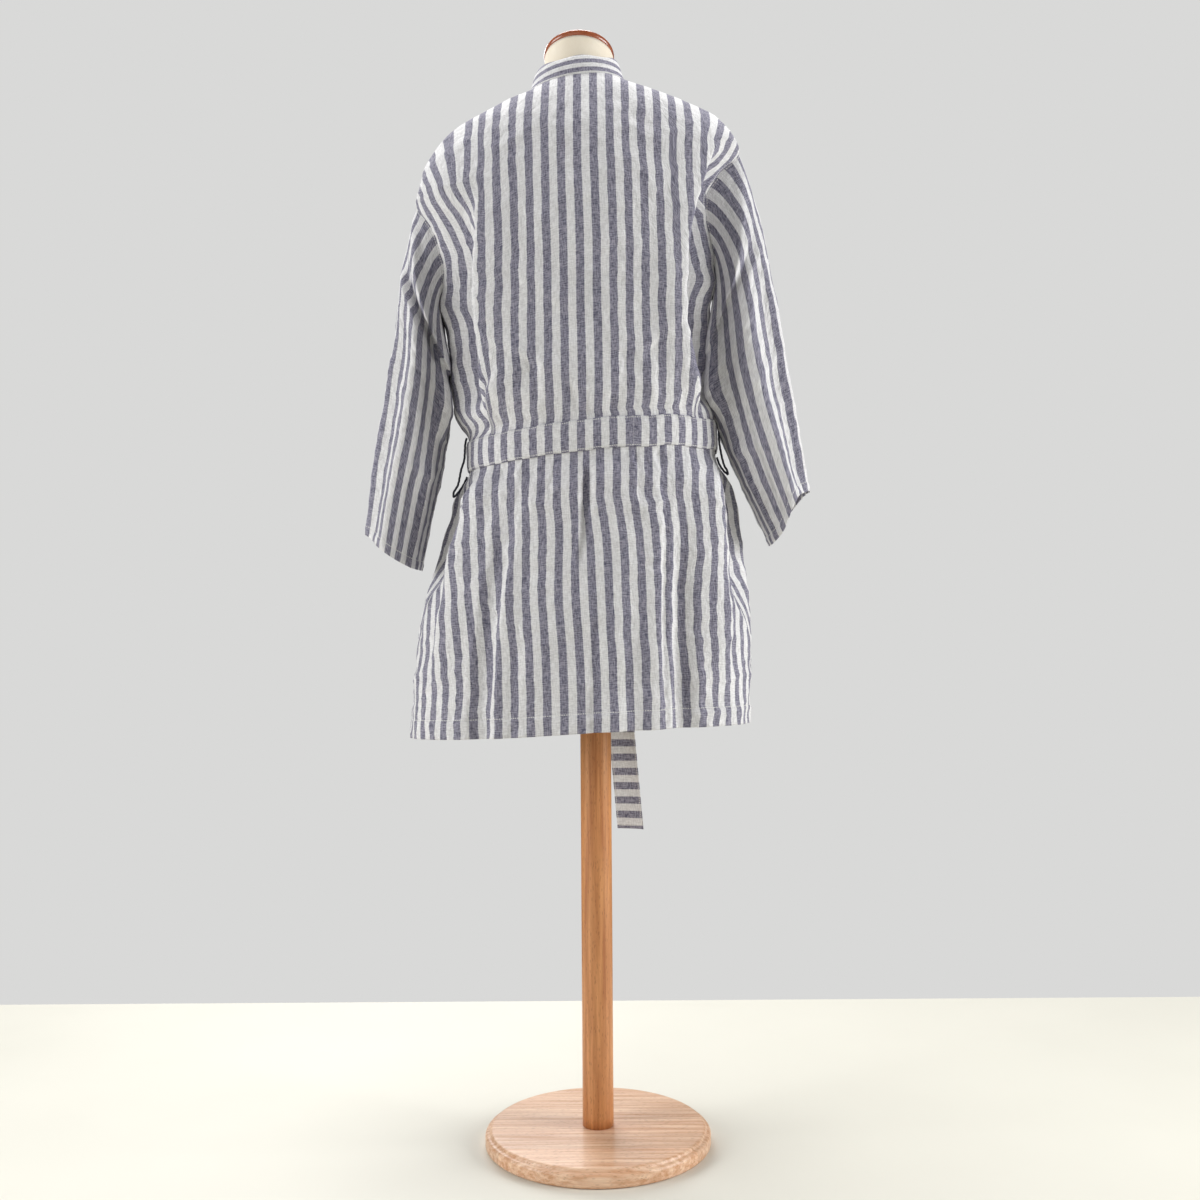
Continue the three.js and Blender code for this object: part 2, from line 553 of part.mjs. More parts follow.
/** Height of a point of the neck's sloping top, which is lower at the front. */
const neckSlope = (z, y) => z + FORM.neckTip * y * smooth((z - FORM.neckStart) / (FORM.top - FORM.neckStart));

function formBody() {
  return loft(FORM_HEIGHTS.map((z) => Array.from({ length: COLUMNS.form }, (_, j) => {
    const angle = (2 * Math.PI * j) / COLUMNS.form;
    const { half, back, front, square } = FORM_RINGS(z);
    const radius = sectionRadius(angle, { left: half, right: half, back, front, square });
    const x = FORM.lean * (z - FORM.bottom) + radius * Math.cos(angle);
    const y = radius * Math.sin(angle);
    const sloping = smooth((FORM.neckStart - z) / 60) * smooth((z - 1100) / 200);
    const level = z - FORM.shoulderSlope * sloping * radius * Math.cos(angle);
    const point = new THREE.Vector3(x, y, neckSlope(level, y));
    return z < FORM.neckStart ? underCloth(point) : point;
  })));
}

function neckCap() {
  const centre = FORM.lean * (FORM.top - FORM.bottom);
  return loft(CAP_RINGS.map(([radius, height]) => Array.from({ length: COLUMNS.form }, (_, j) => {
    const angle = (2 * Math.PI * j) / COLUMNS.form;
    const y = radius * Math.sin(angle);
    return new THREE.Vector3(centre + radius * Math.cos(angle), y,
      FORM.top + SEAM_GAP + height + FORM.neckTip * y);
  })));
}

/** A solid turned about the stand's axis from its outline of radii and heights. */
function turned(outline, segments) {
  return loft(outline.map(([radius, z]) => Array.from({ length: segments }, (_, j) => {
    const angle = (2 * Math.PI * j) / segments;
    return new THREE.Vector3(radius * Math.cos(angle), radius * Math.sin(angle), z);
  })));
}

// ---- the part ----
const group = new THREE.Group();
function add(name, geometry, { color, roughness }) {
  const mesh = new THREE.Mesh(geometry, new THREE.MeshStandardMaterial({ color, roughness, metalness: 0 }));
  mesh.name = name;
  group.add(mesh);
}

add('back', backPanel(), LINEN);
add('front_left', frontPanel('left'), LINEN);
add('front_right', frontPanel('right'), LINEN);
add('neckband', neckband(), LINEN);
add('sleeve_left', sleeve('left'), LINEN);
add('sleeve_right', sleeve('right'), LINEN);
add('sash_wrap', sashWrap(), LINEN);
add('sash_knot', sashKnot(), LINEN);
add('sash_tail_long', sashTail(TAILS.long), LINEN);
add('sash_tail_short', sashTail(TAILS.short), LINEN);
add('belt_loop_left', beltLoop('left'), LINEN);
add('belt_loop_right', beltLoop('right'), LINEN);
add('form_body', formBody(), FORM_CLOTH);
add('form_cap', neckCap(), VARNISHED_WOOD);
add('stand_pole', turned([[STAND.poleRadius, STAND.discHeight + SEAM_GAP],
  [STAND.poleRadius, FORM.bottom - SEAM_GAP]], COLUMNS.pole), WOOD);
add('stand_base', turned(BASE_OUTLINE, COLUMNS.base), WOOD);

export default group;
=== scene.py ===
"""A short striped linen robe with a tied sash, worn by a limbless dress form on a round beech stand.

Sizes are in millimetres until a mesh is made, with +Z up. The robe's front faces -Y, its back +Y and the
wearer's left is at +X. Angles run round the body from the left side (0) over the back (90) to the right
side (180) and the front (270). Every cloth piece lies on one shell, a little further out than the piece
under it.
"""

import bpy
import numpy as np
from mathutils import Matrix, Vector


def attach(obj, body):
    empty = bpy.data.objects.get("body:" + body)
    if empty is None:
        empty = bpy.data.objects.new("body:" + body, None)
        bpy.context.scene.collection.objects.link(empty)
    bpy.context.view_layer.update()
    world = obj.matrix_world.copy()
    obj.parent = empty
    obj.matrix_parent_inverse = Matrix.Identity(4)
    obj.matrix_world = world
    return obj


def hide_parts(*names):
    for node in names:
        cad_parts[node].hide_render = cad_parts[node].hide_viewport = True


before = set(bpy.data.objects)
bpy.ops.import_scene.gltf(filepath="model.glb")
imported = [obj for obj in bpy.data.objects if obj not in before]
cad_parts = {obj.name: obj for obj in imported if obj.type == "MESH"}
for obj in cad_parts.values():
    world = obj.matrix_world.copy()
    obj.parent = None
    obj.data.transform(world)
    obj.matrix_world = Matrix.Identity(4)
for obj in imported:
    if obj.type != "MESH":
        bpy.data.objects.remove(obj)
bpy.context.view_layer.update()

MM = 0.001

# ---- sizes ----
CLOTH = 1.2            # one layer of the linen
DOUBLED = 2.4          # the neckband and the sash, sewn double
SEAM = 0.12            # what shows of the groove between two pieces at a seam
LAYER = 1.1            # between two pieces that lie on each other
STRIPE = 22.2          # from one blue stripe to the next
HEM = 26.0             # depth of the robe's turned hem
CUFF_HEM = 13.0        # depth of the sleeves' turned hem
HEM_ZONE = 120         # up to this height over its edge, a panel's stitches follow the hem
CUFF_ZONE = 100        # the same on a sleeve
STEEPEST = 2.4         # the most that a slope makes a layer count outwards
SEAM_STITCH = 2.5      # from a seam to the stitches beside it
BAND_STITCH = 2.0      # from the neckband's seam to its stitches
SASH_STITCH = 2.2      # from the sash's edges to their stitches
NO_STITCH = 60         # too far from a line of stitches for any to show
SASH = {"height": 42, "left": 976, "back": 992, "right": 1002, "front": 986, "gap": 0.8, "tuck": 3}
WAIST = {"left": 175, "right": 177, "back": 115.5, "front": 112, "square": 2.15, "blend": 46}
ARMHOLE = {
    "left": {"top": 1342, "bottom": 1181, "depth": 42},
    "right": {"top": 1417, "bottom": 1222, "depth": 32},
}
SIDE_CLOTH = {"left": 296.0, "right": 264.0}          # the flat cloth from its middle to its side seam
SHOULDER_LEAN = {"middle": 15.0, "from": 152.0, "over": 46.0, "most": 0.38}
GATHERED_OVER = 16     # the height at the sash over which a front's cloth is drawn in
SKIRT = {"held": 898.0, "sash": 985.0, "over": 22.0}  # where stripes run straight down out of the sash
PLEAT_FOOT = {"bottom": 960, "over": 60}  # where the pleats beside the arms end
# The collar at the nape: how many stations its wave reaches and fades over, how high the wave and the edge
# rise, how much closer its stripes lie, and the white beside its seam at the front and there.
COLLAR = {"reach": 60, "fade": 20, "wave": 3.0, "rise": 2.5, "closer": 1.70, "white": (5.0, 6.1)}
FORM = {"bottom": 830, "top": 1557, "lean": 0.0245, "slope": 0.04, "neck": 1512, "tip": 0.28, "clear": 3.4}
BACK_COLUMNS, FRONT_COLUMNS = 184, 104
BAND_COLUMNS, NAPE_STATIONS = 13, 72
SLEEVE_COLUMNS, SLEEVE_ROWS = 168, 150
SLEEVE_LENGTH, SLEEVE_STRIPES = 470.0, 18
SLEEVE_FREE, CUFF_BOW_FROM = 0.22, 0.72      # how far down a sleeve it hangs free, and its cuff's bow starts
SASH_COLUMNS, SASH_ROWS = 520, 14
KNOT_TURN = 268.0      # where the knot is, round the body
SASH_JOIN_X = -49.0    # where two lengths of the sash are joined, on the back


def ease(t):
    """The smooth step from 0 to 1: t squared times three less two t, held level outside."""
    t = np.clip(t, 0.0, 1.0)
    return t * t * (3 - 2 * t)


def lerp(a, b, t):
    """The straight line from a to b."""
    return a + (b - a) * t


def hump(t):
    """A smooth hump one high and one half-width wide: one less t squared, squared, and nothing beyond."""
    return np.where(np.abs(t) < 1, (1 - np.minimum(t * t, 1)) ** 2, 0.0)


def reader(names, rows):
    """Rows of numbers under named columns, read at any value of the first one: a cubic between rows whose
    slope at a row is the harmonic mean of the slopes beside it, so that it never overshoots."""
    table = np.array(rows, float)
    at_rows, values = table[:, 0], table[:, 1:]
    steps = np.diff(values, axis=0) / np.diff(at_rows)[:, None]
    before, after = np.vstack([steps[:1], steps]), np.vstack([steps, steps[-1:]])
    same_way = before * after > 0
    slopes = np.where(same_way, 2 * before * after / np.where(same_way, before + after, 1), 0)

    def read(x):
        x = np.clip(np.asarray(x, float), at_rows[0], at_rows[-1])
        i = np.clip(np.searchsorted(at_rows, x, "right") - 1, 0, len(at_rows) - 2)
        width = (at_rows[i + 1] - at_rows[i])[..., None]
        t = (x - at_rows[i])[..., None] / width
        value = (values[i] * (1 + 2 * t) * (1 - t) ** 2 + slopes[i] * width * t * (1 - t) ** 2
                 + values[i + 1] * t * t * (3 - 2 * t) + slopes[i + 1] * width * t * t * (t - 1))
        return dict(zip(names[1:], np.moveaxis(value, -1, 0)))

    return read


# ---- tables ----
BODY = reader(["z", "axis", "left", "right", "back", "front", "square"], [
    [560, 21, 241, 240, 152, 147, 2.2], [660, 20, 236, 239, 146, 142, 2.2],
    [740, 16, 230, 235, 141, 138, 2.2], [800, 12, 220, 227, 136, 134, 2.2],
    [860, 6, 208, 216, 131, 129, 2.2], [915, 3, 196, 205, 126, 124, 2.2],
    [1040, 4, 196, 174, 121, 120, 2.3], [1100, 8, 195, 175, 119, 125, 2.4],
    [1150, 11, 196, 175, 118, 129, 2.5], [1190, 13, 203, 178, 118, 132, 2.5],
    [1222, 14, 200, 187, 117, 133, 2.5], [1260, 14, 204, 185, 116, 132, 2.5],
    [1300, 14, 217, 186, 114, 128, 2.5], [1342, 15, 236, 197, 110, 120, 2.5],
    [1380, 15, 228, 213, 105, 110, 2.4], [1417, 16, 210, 228, 98, 98, 2.3],
    [1440, 16, 190, 218, 92, 90, 2.2], [1464, 16, 151, 197, 84, 80, 2.1], [1483, 16, 118, 160, 77, 72, 2.0],
    [1498, 16, 80, 119, 70, 65, 2.0], [1509, 16, 70, 84, 64, 62, 2.0], [1517, 17, 67, 66, 63, 60, 2.0],
    [1548, 18, 58, 56, 56, 55, 2.0],
])

# Where the middle blue stripe of the back runs: its height and its place across.
MIDDLE_STRIPE = reader(["z", "x"], [
    [577, -3], [635, -3], [701, -1], [768, 2.5], [835, 4.8], [903, 9.9], [950, 14.5], [1039, 14.5],
    [1107, 14.9], [1176, 16.3], [1245, 16.4], [1316, 17.9], [1389, 19.8], [1435, 18.3], [1484, 16.2],
])

# Where cloth hides in the fold beside each arm: height, how far from the left and the right side in
# degrees, and over how many degrees.
PLEATS = reader(["z", "left", "right", "wide"], [
    [1000, 31, 26, 2.2], [1030, 34.5, 29, 2.2], [1060, 38.2, 31, 2.6], [1090, 39.6, 34, 6],
    [1130, 37, 36, 9], [1188, 36.5, 37, 9], [1265, 37, 34, 9], [1310, 38, 31, 11], [1350, 40, 27, 20],
    [1400, 44, 24, 30], [1500, 44, 22, 32],
])

PLEAT_SPREAD = {"left": 1.0, "right": 1.7}      # how much wider than the table each side hides its cloth

# Folds that run up and down the robe: top, bottom, angle at the top and the bottom, how far the line bows
# from straight in degrees, how far the cloth stands out (in, if negative), its half width in degrees
# towards the lower and the higher angles, and the lengths over which it comes and goes.
FOLDS = [
    # top, bottom, angle top, angle bottom, bow, out, lower, higher, comes, goes
    (1360, 1006, 37, 34, 0, 12, 4, 15, 130, 70),        # left shoulder blade's ridge
    (1352, 1012, 26, 23, 0, -38, 15, 10, 130, 70),      # the hollow under the left arm
    (1415, 1006, 162, 156, -15.5, 13, 13, 4, 90, 70),   # right shoulder blade's ridge
    (1425, 1012, 171, 165, -15.5, -46, 8, 17, 80, 70),  # the hollow under the right arm
    (1330, 1003, 137, 138, 0, 4, 8, 4, 120, 70),        # the soft ridge beside it
    (1160, 1040, 52, 46, 0, 5, 9, 9, 70, 50),           # blouse fold over the sash, left
    (1100, 1003, 44, 31, 0, 8, 2.5, 10, 70, 10),        # crease that runs down into the sash
    (1120, 1003, 66, 62, 0, 4, 5, 8, 60, 60),
    (1075, 1003, 78, 80, 0, -6, 4, 6, 50, 20),
    (1130, 1003, 108, 104, 0, 4, 8, 6, 60, 60),
    (1105, 1003, 127, 131, 0, 5, 7, 6, 60, 60),
    (975, 740, 86, 84, 0, -12, 3, 8, 16, 200),          # pleat below the sash
    (965, 770, 11, 13, 0, -22, 10, 9, 50, 70),          # the hollow behind the left hip
    (960, 640, 24, 26, 0, 9, 5, 12, 50, 70),            # the back's edge over it
    (960, 560, 44, 43, 0, -10, 5, 9, 240, 90),          # long fold of the skirt, left
    (960, 560, 52, 51, 0, 6, 5, 8, 240, 90),
    (960, 560, 139, 138, 0, -13, 7, 6, 220, 90),        # long double fold of the skirt, right
    (960, 600, 131, 130, 0, -5, 3, 4, 220, 90),
    (960, 560, 127, 125, 0, 6, 8, 5, 220, 90),
    (965, 740, 168, 167, 0, -20, 8, 9, 50, 70),         # the hollow behind the right hip
    (960, 640, 155, 154, 0, 9, 12, 5, 50, 70),
    (900, 560, 66, 65, 0, 4, 9, 7, 220, 120),
    (900, 560, 108, 107, 0, 4.5, 7, 9, 220, 120),
    (840, 560, 97, 96, 0, -4, 4, 5, 160, 120),
    (950, 560, 322, 318, 0, -9, 10, 10, 70, 70),        # folds of the fronts
    (950, 560, 222, 226, 0, -9, 10, 10, 70, 70),
    (940, 560, 340, 338, 0, 6, 8, 8, 90, 90),
    (940, 560, 203, 206, 0, 6, 8, 8, 90, 90),
    (1175, 1005, 320, 316, 0, -8, 13, 13, 70, 70),
    (1175, 1005, 221, 225, 0, -8, 13, 13, 70, 70),
    (1140, 1003, 336, 332, 0, 6, 8, 8, 60, 60),
    (1140, 1003, 205, 209, 0, 6, 8, 8, 60, 60),
]

# Slanting drags of the cloth: angle and height at both ends, how far out, half height below and above.
DRAGS = [
    (30, 1150, 78, 1065, 3.5, 16, 26), (42, 1235, 92, 1150, 2.2, 18, 30),
    (150, 1180, 112, 1080, 3.2, 16, 26), (140, 1260, 96, 1190, 2.0, 18, 30),
    (38, 1330, 80, 1270, 1.8, 20, 30), (142, 1345, 102, 1290, 1.8, 20, 30), (46, 880, 84, 940, 2.4, 24, 16),
    (136, 860, 98, 935, 2.4, 24, 16), (60, 700, 100, 760, 1.8, 26, 20), (120, 690, 90, 760, 1.8, 26, 20),
    (118, 1440, 150, 1380, 2.2, 14, 20), (62, 1440, 34, 1375, 2.2, 14, 20),
    (330, 1330, 300, 1200, 3.0, 20, 30), (212, 1340, 244, 1220, 3.0, 20, 30),
]

# The front's cut edge from the neck's side to the hem: height, angle from that side, the further angle
# that the neckband covers, and how far the band's free edge rises.
EDGE = reader(["z", "seam", "band", "rise"], [
    [585, 110.5, 13, 0], [750, 108, 14, 0], [900, 105, 15, 1], [989, 101.5, 15.5, 2], [1040, 93, 15, 5],
    [1100, 86.5, 14.5, 6], [1180, 79.5, 14, 6], [1260, 72, 14.5, 6], [1340, 63.5, 16, 6], [1410, 53, 20, 8],
    [1455, 43, 21, 11], [1484, 31, 15, 18], [1497, 16, 6, 24], [1501, 0, 0, 26],
])

# The neck's two sides and how far the neckband stands there; how far each side seam turns to the back.
NECK = {"left": 1501, "right": 1517, "stand": 26}
SEAM_TURN = reader(["z", "left", "right"], [
    [577, 2, 2], [650, 4, 5], [740, 10, 12], [830, 16, 19], [920, 16, 20], [975, 11, 12], [1030, 4, 4],
    [1100, 0, 0],
])

# Level lines of the robe: height at the left and right side, how much higher the back is, rows above it
# and how they are spaced. The armhole lies between the last but two and the last but one.
LEVELS = [
    (577, 595, 5, 9, "even"), (603, 621, 5, 1, "even"), (604, 622, 5, 74, "even"), (906, 932, 3, 13, "even"),
    (952, 978, 3, 12, "even"), (1000, 1026, 3, 9, "even"), (1028, 1054, 3, 38, "even"),
    (1181, 1222, 0, 44, "armhole"), (1342, 1417, 0, 34, "shoulder"), (1501, 1517, 0, 0, "even"),
]

# The sleeves' outer and inner lines as shares of the way down, and half their depth.
SLEEVES = {
    "left": reader(["along", "outer_x", "outer_z", "inner_x", "inner_z", "depth"], [
        [0, 252, 1342, 217, 1181, 42], [0.12, 265, 1296, 214, 1152, 52], [0.25, 277, 1240, 208, 1116, 60],
        [0.45, 285, 1150, 207, 1052, 67], [0.65, 298, 1060, 214, 985, 70], [0.85, 314, 958, 234, 900, 72],
        [1, 326, 867, 252, 816, 72],
    ]),
    "right": reader(["along", "outer_x", "outer_z", "inner_x", "inner_z", "depth"], [
        [0, -213, 1417, -177, 1222, 32], [0.12, -232, 1362, -171, 1184, 48],
        [0.25, -246, 1300, -164, 1142, 58], [0.45, -267, 1190, -163, 1075, 66],
        [0.65, -281, 1085, -178, 1018, 68], [0.85, -297, 985, -216, 928, 68], [1, -307, 922, -254, 849, 66],
    ]),
}

# Creases down a sleeve: turn at its top and bottom (0 outer line, 90 back, 180 inner line), half widths
# towards the lower and higher turns, how far out, and from where to where along the sleeve.
SLEEVE_FOLDS = [
    (58, 52, 20, 24, -9, 0.2, 1.1), (118, 124, 22, 22, -10, 0.05, 0.8), (242, 242, 26, 26, -9, 0.1, 0.9),
    (305, 305, 26, 26, -8, 0.25, 1.1), (88, 84, 14, 20, 7, 0.25, 1.1), (272, 272, 22, 22, 5, 0.3, 1.1),
    (28, 30, 12, 14, 4, 0.35, 1.1), (152, 148, 24, 22, 21, -0.1, 0.66), (150, 140, 10, 16, 5, 0.6, 1.1),
    (102, 108, 8, 8, -3, 0.5, 1.1), (330, 326, 12, 14, 4, 0.3, 1.1), (220, 215, 14, 12, 4, 0.35, 1.1),
]

# Creases across a sleeve, from its head to the underarm: turn and place along at both ends, how far out on
# the left and on the right sleeve, half width above and below.
SLEEVE_DRAGS = [
    (6, 0.09, 158, 0.30, 9.0, 4.0, 0.05, 0.025), (6, 0.17, 172, 0.34, -25.0, -7.0, 0.035, 0.075),
    (352, 0.10, 210, 0.26, 5.0, 5.0, 0.05, 0.03), (352, 0.15, 205, 0.30, -6.5, -6.0, 0.03, 0.05),
    (30, 0.34, 150, 0.46, 3.4, 3.0, 0.05, 0.03), (20, 0.55, 150, 0.66, 2.8, 3.4, 0.05, 0.03),
    (330, 0.36, 210, 0.48, 2.6, 3.0, 0.05, 0.03), (340, 0.58, 210, 0.68, 2.2, 2.6, 0.05, 0.03),
    (70, 0.80, 170, 0.74, 2.4, 3.2, 0.04, 0.03), (60, 0.46, 165, 0.52, -2.6, -2.4, 0.03, 0.04),
]

# How a cuff's edge bows: middle of the bow in turns, its half width, and how far down the sleeve it goes.
CUFF_BOWS = {"left": (105, 70, 5.0), "right": (72, 58, -15.0)}

# The form's level sections: height, half width, depth to the back and the front, how square.
FORM_RINGS = reader(["z", "half", "back", "front", "square"], [
    [830, 152, 96, 98, 2.2], [870, 163, 104, 104, 2.2], [930, 170, 110, 108, 2.2],
    [990, 171, 112, 109, 2.15], [1060, 148, 101, 99, 2.1], [1120, 125, 91, 90, 2.1],
    [1180, 132, 96, 104, 2.1], [1250, 140, 103, 120, 2.1], [1300, 142, 104, 118, 2.1],
    [1350, 150, 101, 108, 2.2], [1400, 166, 95, 96, 2.3], [1430, 172, 89, 87, 2.2],
    [1450, 163, 84, 80, 2.1], [1467, 148, 80, 75, 2.0], [1484, 120, 74, 69, 2.0], [1499, 78, 66, 61, 2.0],
    [1512, 58, 57, 54, 2.0], [1530, 52, 52, 50, 2.0], [1563, 49.5, 49.5, 49.5, 2.0],
])

# The sash's tails: their ends, and how they hang by height: place across, half width, how far out.
TAIL_FREE = 600        # below this height a tail hangs straight down
TAILS = {
    "long": {"top": 968.8, "bottom": 420, "gap": 1.4, "line": reader(["z", "x", "half", "out"], [
        [420, -52.5, 20, 6], [570, -40, 20, 2], [760, -25, 20, 0], [900, -15, 17, 0], [968.8, -9, 10, 2.5]])},
    "short": {"top": 970.3, "bottom": 655, "gap": 1.4, "line": reader(["z", "x", "half", "out"], [
        [655, 56, 19.5, 3], [760, 45, 19.5, 1], [900, 27, 17, 0], [970.3, 14, 9, 2.5]])},
}

# The belt loops: heights from the sash's middle and distances out from the side seam.
LOOPS = {
    "left": [[29, 3.8], [20, 6.6], [0, 8], [-17, 13], [-38, 13], [-52, 11], [-56, 8], [-50, 5.8], [-38, 5],
             [-27, 4.1]],
    "right": [[29, 3.4], [20, 6.6], [0, 6.8], [-18, 9], [-38, 10.5], [-48, 9.5], [-52, 7], [-47, 5],
              [-37, 4.2], [-27, 3.3]],
}


# ---- meshes from grids ----

def normals(points):
    """Unit normals of a grid: the cross product of its differences across and up."""
    n = np.cross(np.gradient(points, axis=1), np.gradient(points, axis=0))
    return n / np.maximum(np.linalg.norm(n, axis=-1, keepdims=True), 1e-9)


def ring_normals(points):
    """Unit normals of a grid whose last column repeats its first: as normals(), with the ends joined."""
    wide = np.concatenate([points[:, -3:-1], points, points[:, 1:3]], axis=1)
    return normals(wide)[:, 2:-2]


def new_piece(name, points, loops, sizes, maps):
    """A mesh object from its corners, the corner of every face in turn, the faces' sizes and its maps."""
    mesh = bpy.data.meshes.new(name)
    mesh.vertices.add(len(points))
    mesh.vertices.foreach_set("co", (points * MM).astype(np.float32).ravel())
    mesh.loops.add(len(loops))
    mesh.loops.foreach_set("vertex_index", loops.astype(np.int32))
    mesh.polygons.add(len(sizes))
    mesh.polygons.foreach_set("loop_start", np.r_[0, np.cumsum(sizes)[:-1]].astype(np.int32))
    mesh.update(calc_edges=True)
    mesh.polygons.foreach_set("use_smooth", np.ones(len(sizes), bool))
    for title, values in maps.items():
        mesh.uv_layers.new(name=title).data.foreach_set("uv", (values * MM).astype(np.float32).ravel())
    mesh.update()
    piece = bpy.data.objects.new(name, mesh)
    bpy.context.scene.collection.objects.link(piece)
    return piece


def cells(rows, columns):
    """The four corners of every cell of a grid, as rows and as columns."""
    i, j = np.meshgrid(np.arange(rows - 1), np.arange(columns - 1), indexing="ij")
    return (np.stack([i, i, i + 1, i + 1], -1).reshape(-1, 4),
            np.stack([j, j + 1, j + 1, j], -1).reshape(-1, 4))


def outwards(points, quads):
    """1 if a skin's cells face outwards, by the sign of the volume they enclose, or else -1."""
    p = points[quads]
    return np.sign(np.einsum("ij,ij->", p[:, 0], np.cross(p[:, 1], p[:, 2]) + np.cross(p[:, 2], p[:, 3])))


def cloth_wall(name, outer, inner, cloth, stitch, wrapped=False):
    """A closed wall between an outer and an inner grid of one size, joined by rims along the free edges.
    A wrapped grid repeats its first column as its last, and has rims at its two ends only."""
    rows, columns = outer.shape[:2]
    kept = columns - 1 if wrapped else columns
    points = np.concatenate([outer[:, :kept].reshape(-1, 3), inner[:, :kept].reshape(-1, 3)])
    i, j = cells(rows, columns)
    side = [np.zeros_like(i), np.ones_like(i)]
    row, column = [i, i[:, ::-1]], [j, j[:, ::-1]]

    def rim(sides, at_rows, at_columns):
        side.append(np.stack(np.broadcast_arrays(*sides), -1))
        row.append(np.stack(np.broadcast_arrays(*at_rows), -1))
        column.append(np.stack(np.broadcast_arrays(*at_columns), -1))

    c, r = np.arange(columns - 1), np.arange(rows - 1)
    nought, one, last, edge = 0 * c, 0 * c + 1, 0 * c + rows - 1, columns - 1
    rim([one, one, nought, nought], [nought] * 4, [c, c + 1, c + 1, c])
    rim([nought, nought, one, one], [last] * 4, [c, c + 1, c + 1, c])
    if not wrapped:
        nought, one = 0 * r, 0 * r + 1
        rim([nought, nought, one, one], [r, r + 1, r + 1, r], [nought] * 4)
        rim([one, one, nought, nought], [r, r + 1, r + 1, r], [nought + edge] * 4)
    side, row, column = (np.concatenate(part) for part in (side, row, column))
    corner = side * rows * kept + row * kept + column % kept
    if outwards(points, corner) < 0:
        corner, row, column = corner[:, ::-1], row[:, ::-1], column[:, ::-1]
    maps = {"cloth": cloth[row, column].reshape(-1, 2), "stitch": stitch[row, column].reshape(-1, 2)}
    return new_piece(name, points, corner.ravel(), np.full(len(corner), 4), maps)


def lofted(name, rings):
    """A closed skin through rings of points, of one count each, its two ends closed by fans."""
    count, around = rings.shape[:2]
    points = np.concatenate([rings.reshape(-1, 3), rings[:1].mean(axis=1), rings[-1:].mean(axis=1)])
    i, j = cells(count, around + 1)
    quads = i * around + j % around
    k = np.arange(around)
    low = np.stack([(k + 1) % around, k, np.full(around, count * around)], -1)
    high = np.stack([(count - 1) * around + k, (count - 1) * around + (k + 1) % around,
                     np.full(around, count * around + 1)], -1)
    if outwards(points, quads) < 0:
        quads, low, high = quads[:, ::-1], low[:, ::-1], high[:, ::-1]
    loops = np.concatenate([quads.ravel(), low.ravel(), high.ravel()])
    sizes = np.r_[np.full(len(quads), 4), np.full(2 * around, 3)]
    return new_piece(name, points, loops, sizes, {})


# ---- the shell that the cloth lies on ----

def section(degrees, ring):
    """Distance from the axis of a rounded section: one over the root of the summed powers of its reaches."""
    a = np.radians(degrees)
    across = np.cos(a) / np.where(np.cos(a) > 0, ring["left"], ring["right"])
    deep = np.sin(a) / np.where(np.sin(a) > 0, ring["back"], ring["front"])
    return (np.abs(across) ** ring["square"] + np.abs(deep) ** ring["square"]) ** (-1 / ring["square"])


def sash_height(degrees):
    """Height of the sash's middle: a tilted circle that is lowest at the left side."""
    a = np.radians(degrees)
    return ((SASH["left"] + SASH["right"]) / 2 + (SASH["left"] - SASH["right"]) / 2 * np.cos(a)
            + (SASH["back"] - SASH["front"]) / 2 * np.sin(a))


def off_sash(degrees, z):
    """Distance above or below the band of cloth that the sash holds flat."""
    return np.abs(z - sash_height(degrees)) - (SASH["height"] / 2 + SASH["tuck"])


def turned(degrees, middle):
    """The angle from a fold's middle, from -180 to 180."""
    return (degrees - middle + 180) % 360 - 180


def folds(degrees, z):
    """The long folds: each a hump across a slanting line, with its own width on either side."""
    total = np.zeros(np.broadcast(degrees, z).shape)
    for top, bottom, at_top, at_bottom, bow, out, lower, higher, comes, goes in FOLDS:
        down = np.clip((top - z) / (top - bottom), 0, 1)
        away = turned(degrees, lerp(at_top, at_bottom, down) + bow * np.sin(np.pi * down))
        there = ease((top - z) / comes) * (1 if bottom < LEVELS[0][0] else ease((z - bottom) / goes))
        total += out * there * hump(away / np.where(away < 0, lower, higher))
    return total


def drags(degrees, z):
    """The slanting drags: each a hump across a line from one angle and height to another, fading out at
    both ends as the sine of the share of its length."""
    total = np.zeros(np.broadcast(degrees, z).shape)
    for a0, z0, a1, z1, out, below, above in DRAGS:
        share = turned(degrees, a0) / turned(a1, a0)
        away = z - lerp(z0, z1, share)
        ends = np.where((share > 0) & (share < 1), np.sin(np.pi * np.clip(share, 0, 1)), 0)
        total += out * ends * hump(away / np.where(away < 0, below, above))
    return total


# The pinches at the sash's edges, on the back and on the fronts: place, half width, how far out, length
# and side of the sash.
GATHERS = np.random.default_rng(11)
GATHER_AT = np.concatenate([GATHERS.uniform(18, 162, 46), GATHERS.uniform(195, 345, 30)])
GATHER_WIDE = GATHERS.uniform(1.6, 3.8, GATHER_AT.size)
GATHER_OUT = GATHERS.uniform(0.8, 3.0, GATHER_AT.size) * GATHERS.choice([-1, 1], GATHER_AT.size)
GATHER_LONG = GATHERS.uniform(16, 70, GATHER_AT.size)
GATHER_SIDE = GATHERS.choice([-1, 1], GATHER_AT.size)


def gathers(degrees, z):
    """Small pinches that start at the sash's edges: humps across an angle that die away with distance."""
    away = off_sash(degrees, z)
    above = np.where(z > sash_height(degrees), 1, -1)
    total = np.zeros(np.broadcast(degrees, z).shape)
    for at, wide, out, long, side in zip(GATHER_AT, GATHER_WIDE, GATHER_OUT, GATHER_LONG, GATHER_SIDE):
        spread = 1 + np.clip(away, 0, 200) / 90
        height = np.where(above == side, out, 0.25 * out) * np.exp(-np.clip(away, 0, None) / long)
        total += height * hump(turned(degrees, at) / (wide * spread))
    return total * ease(away / 9)


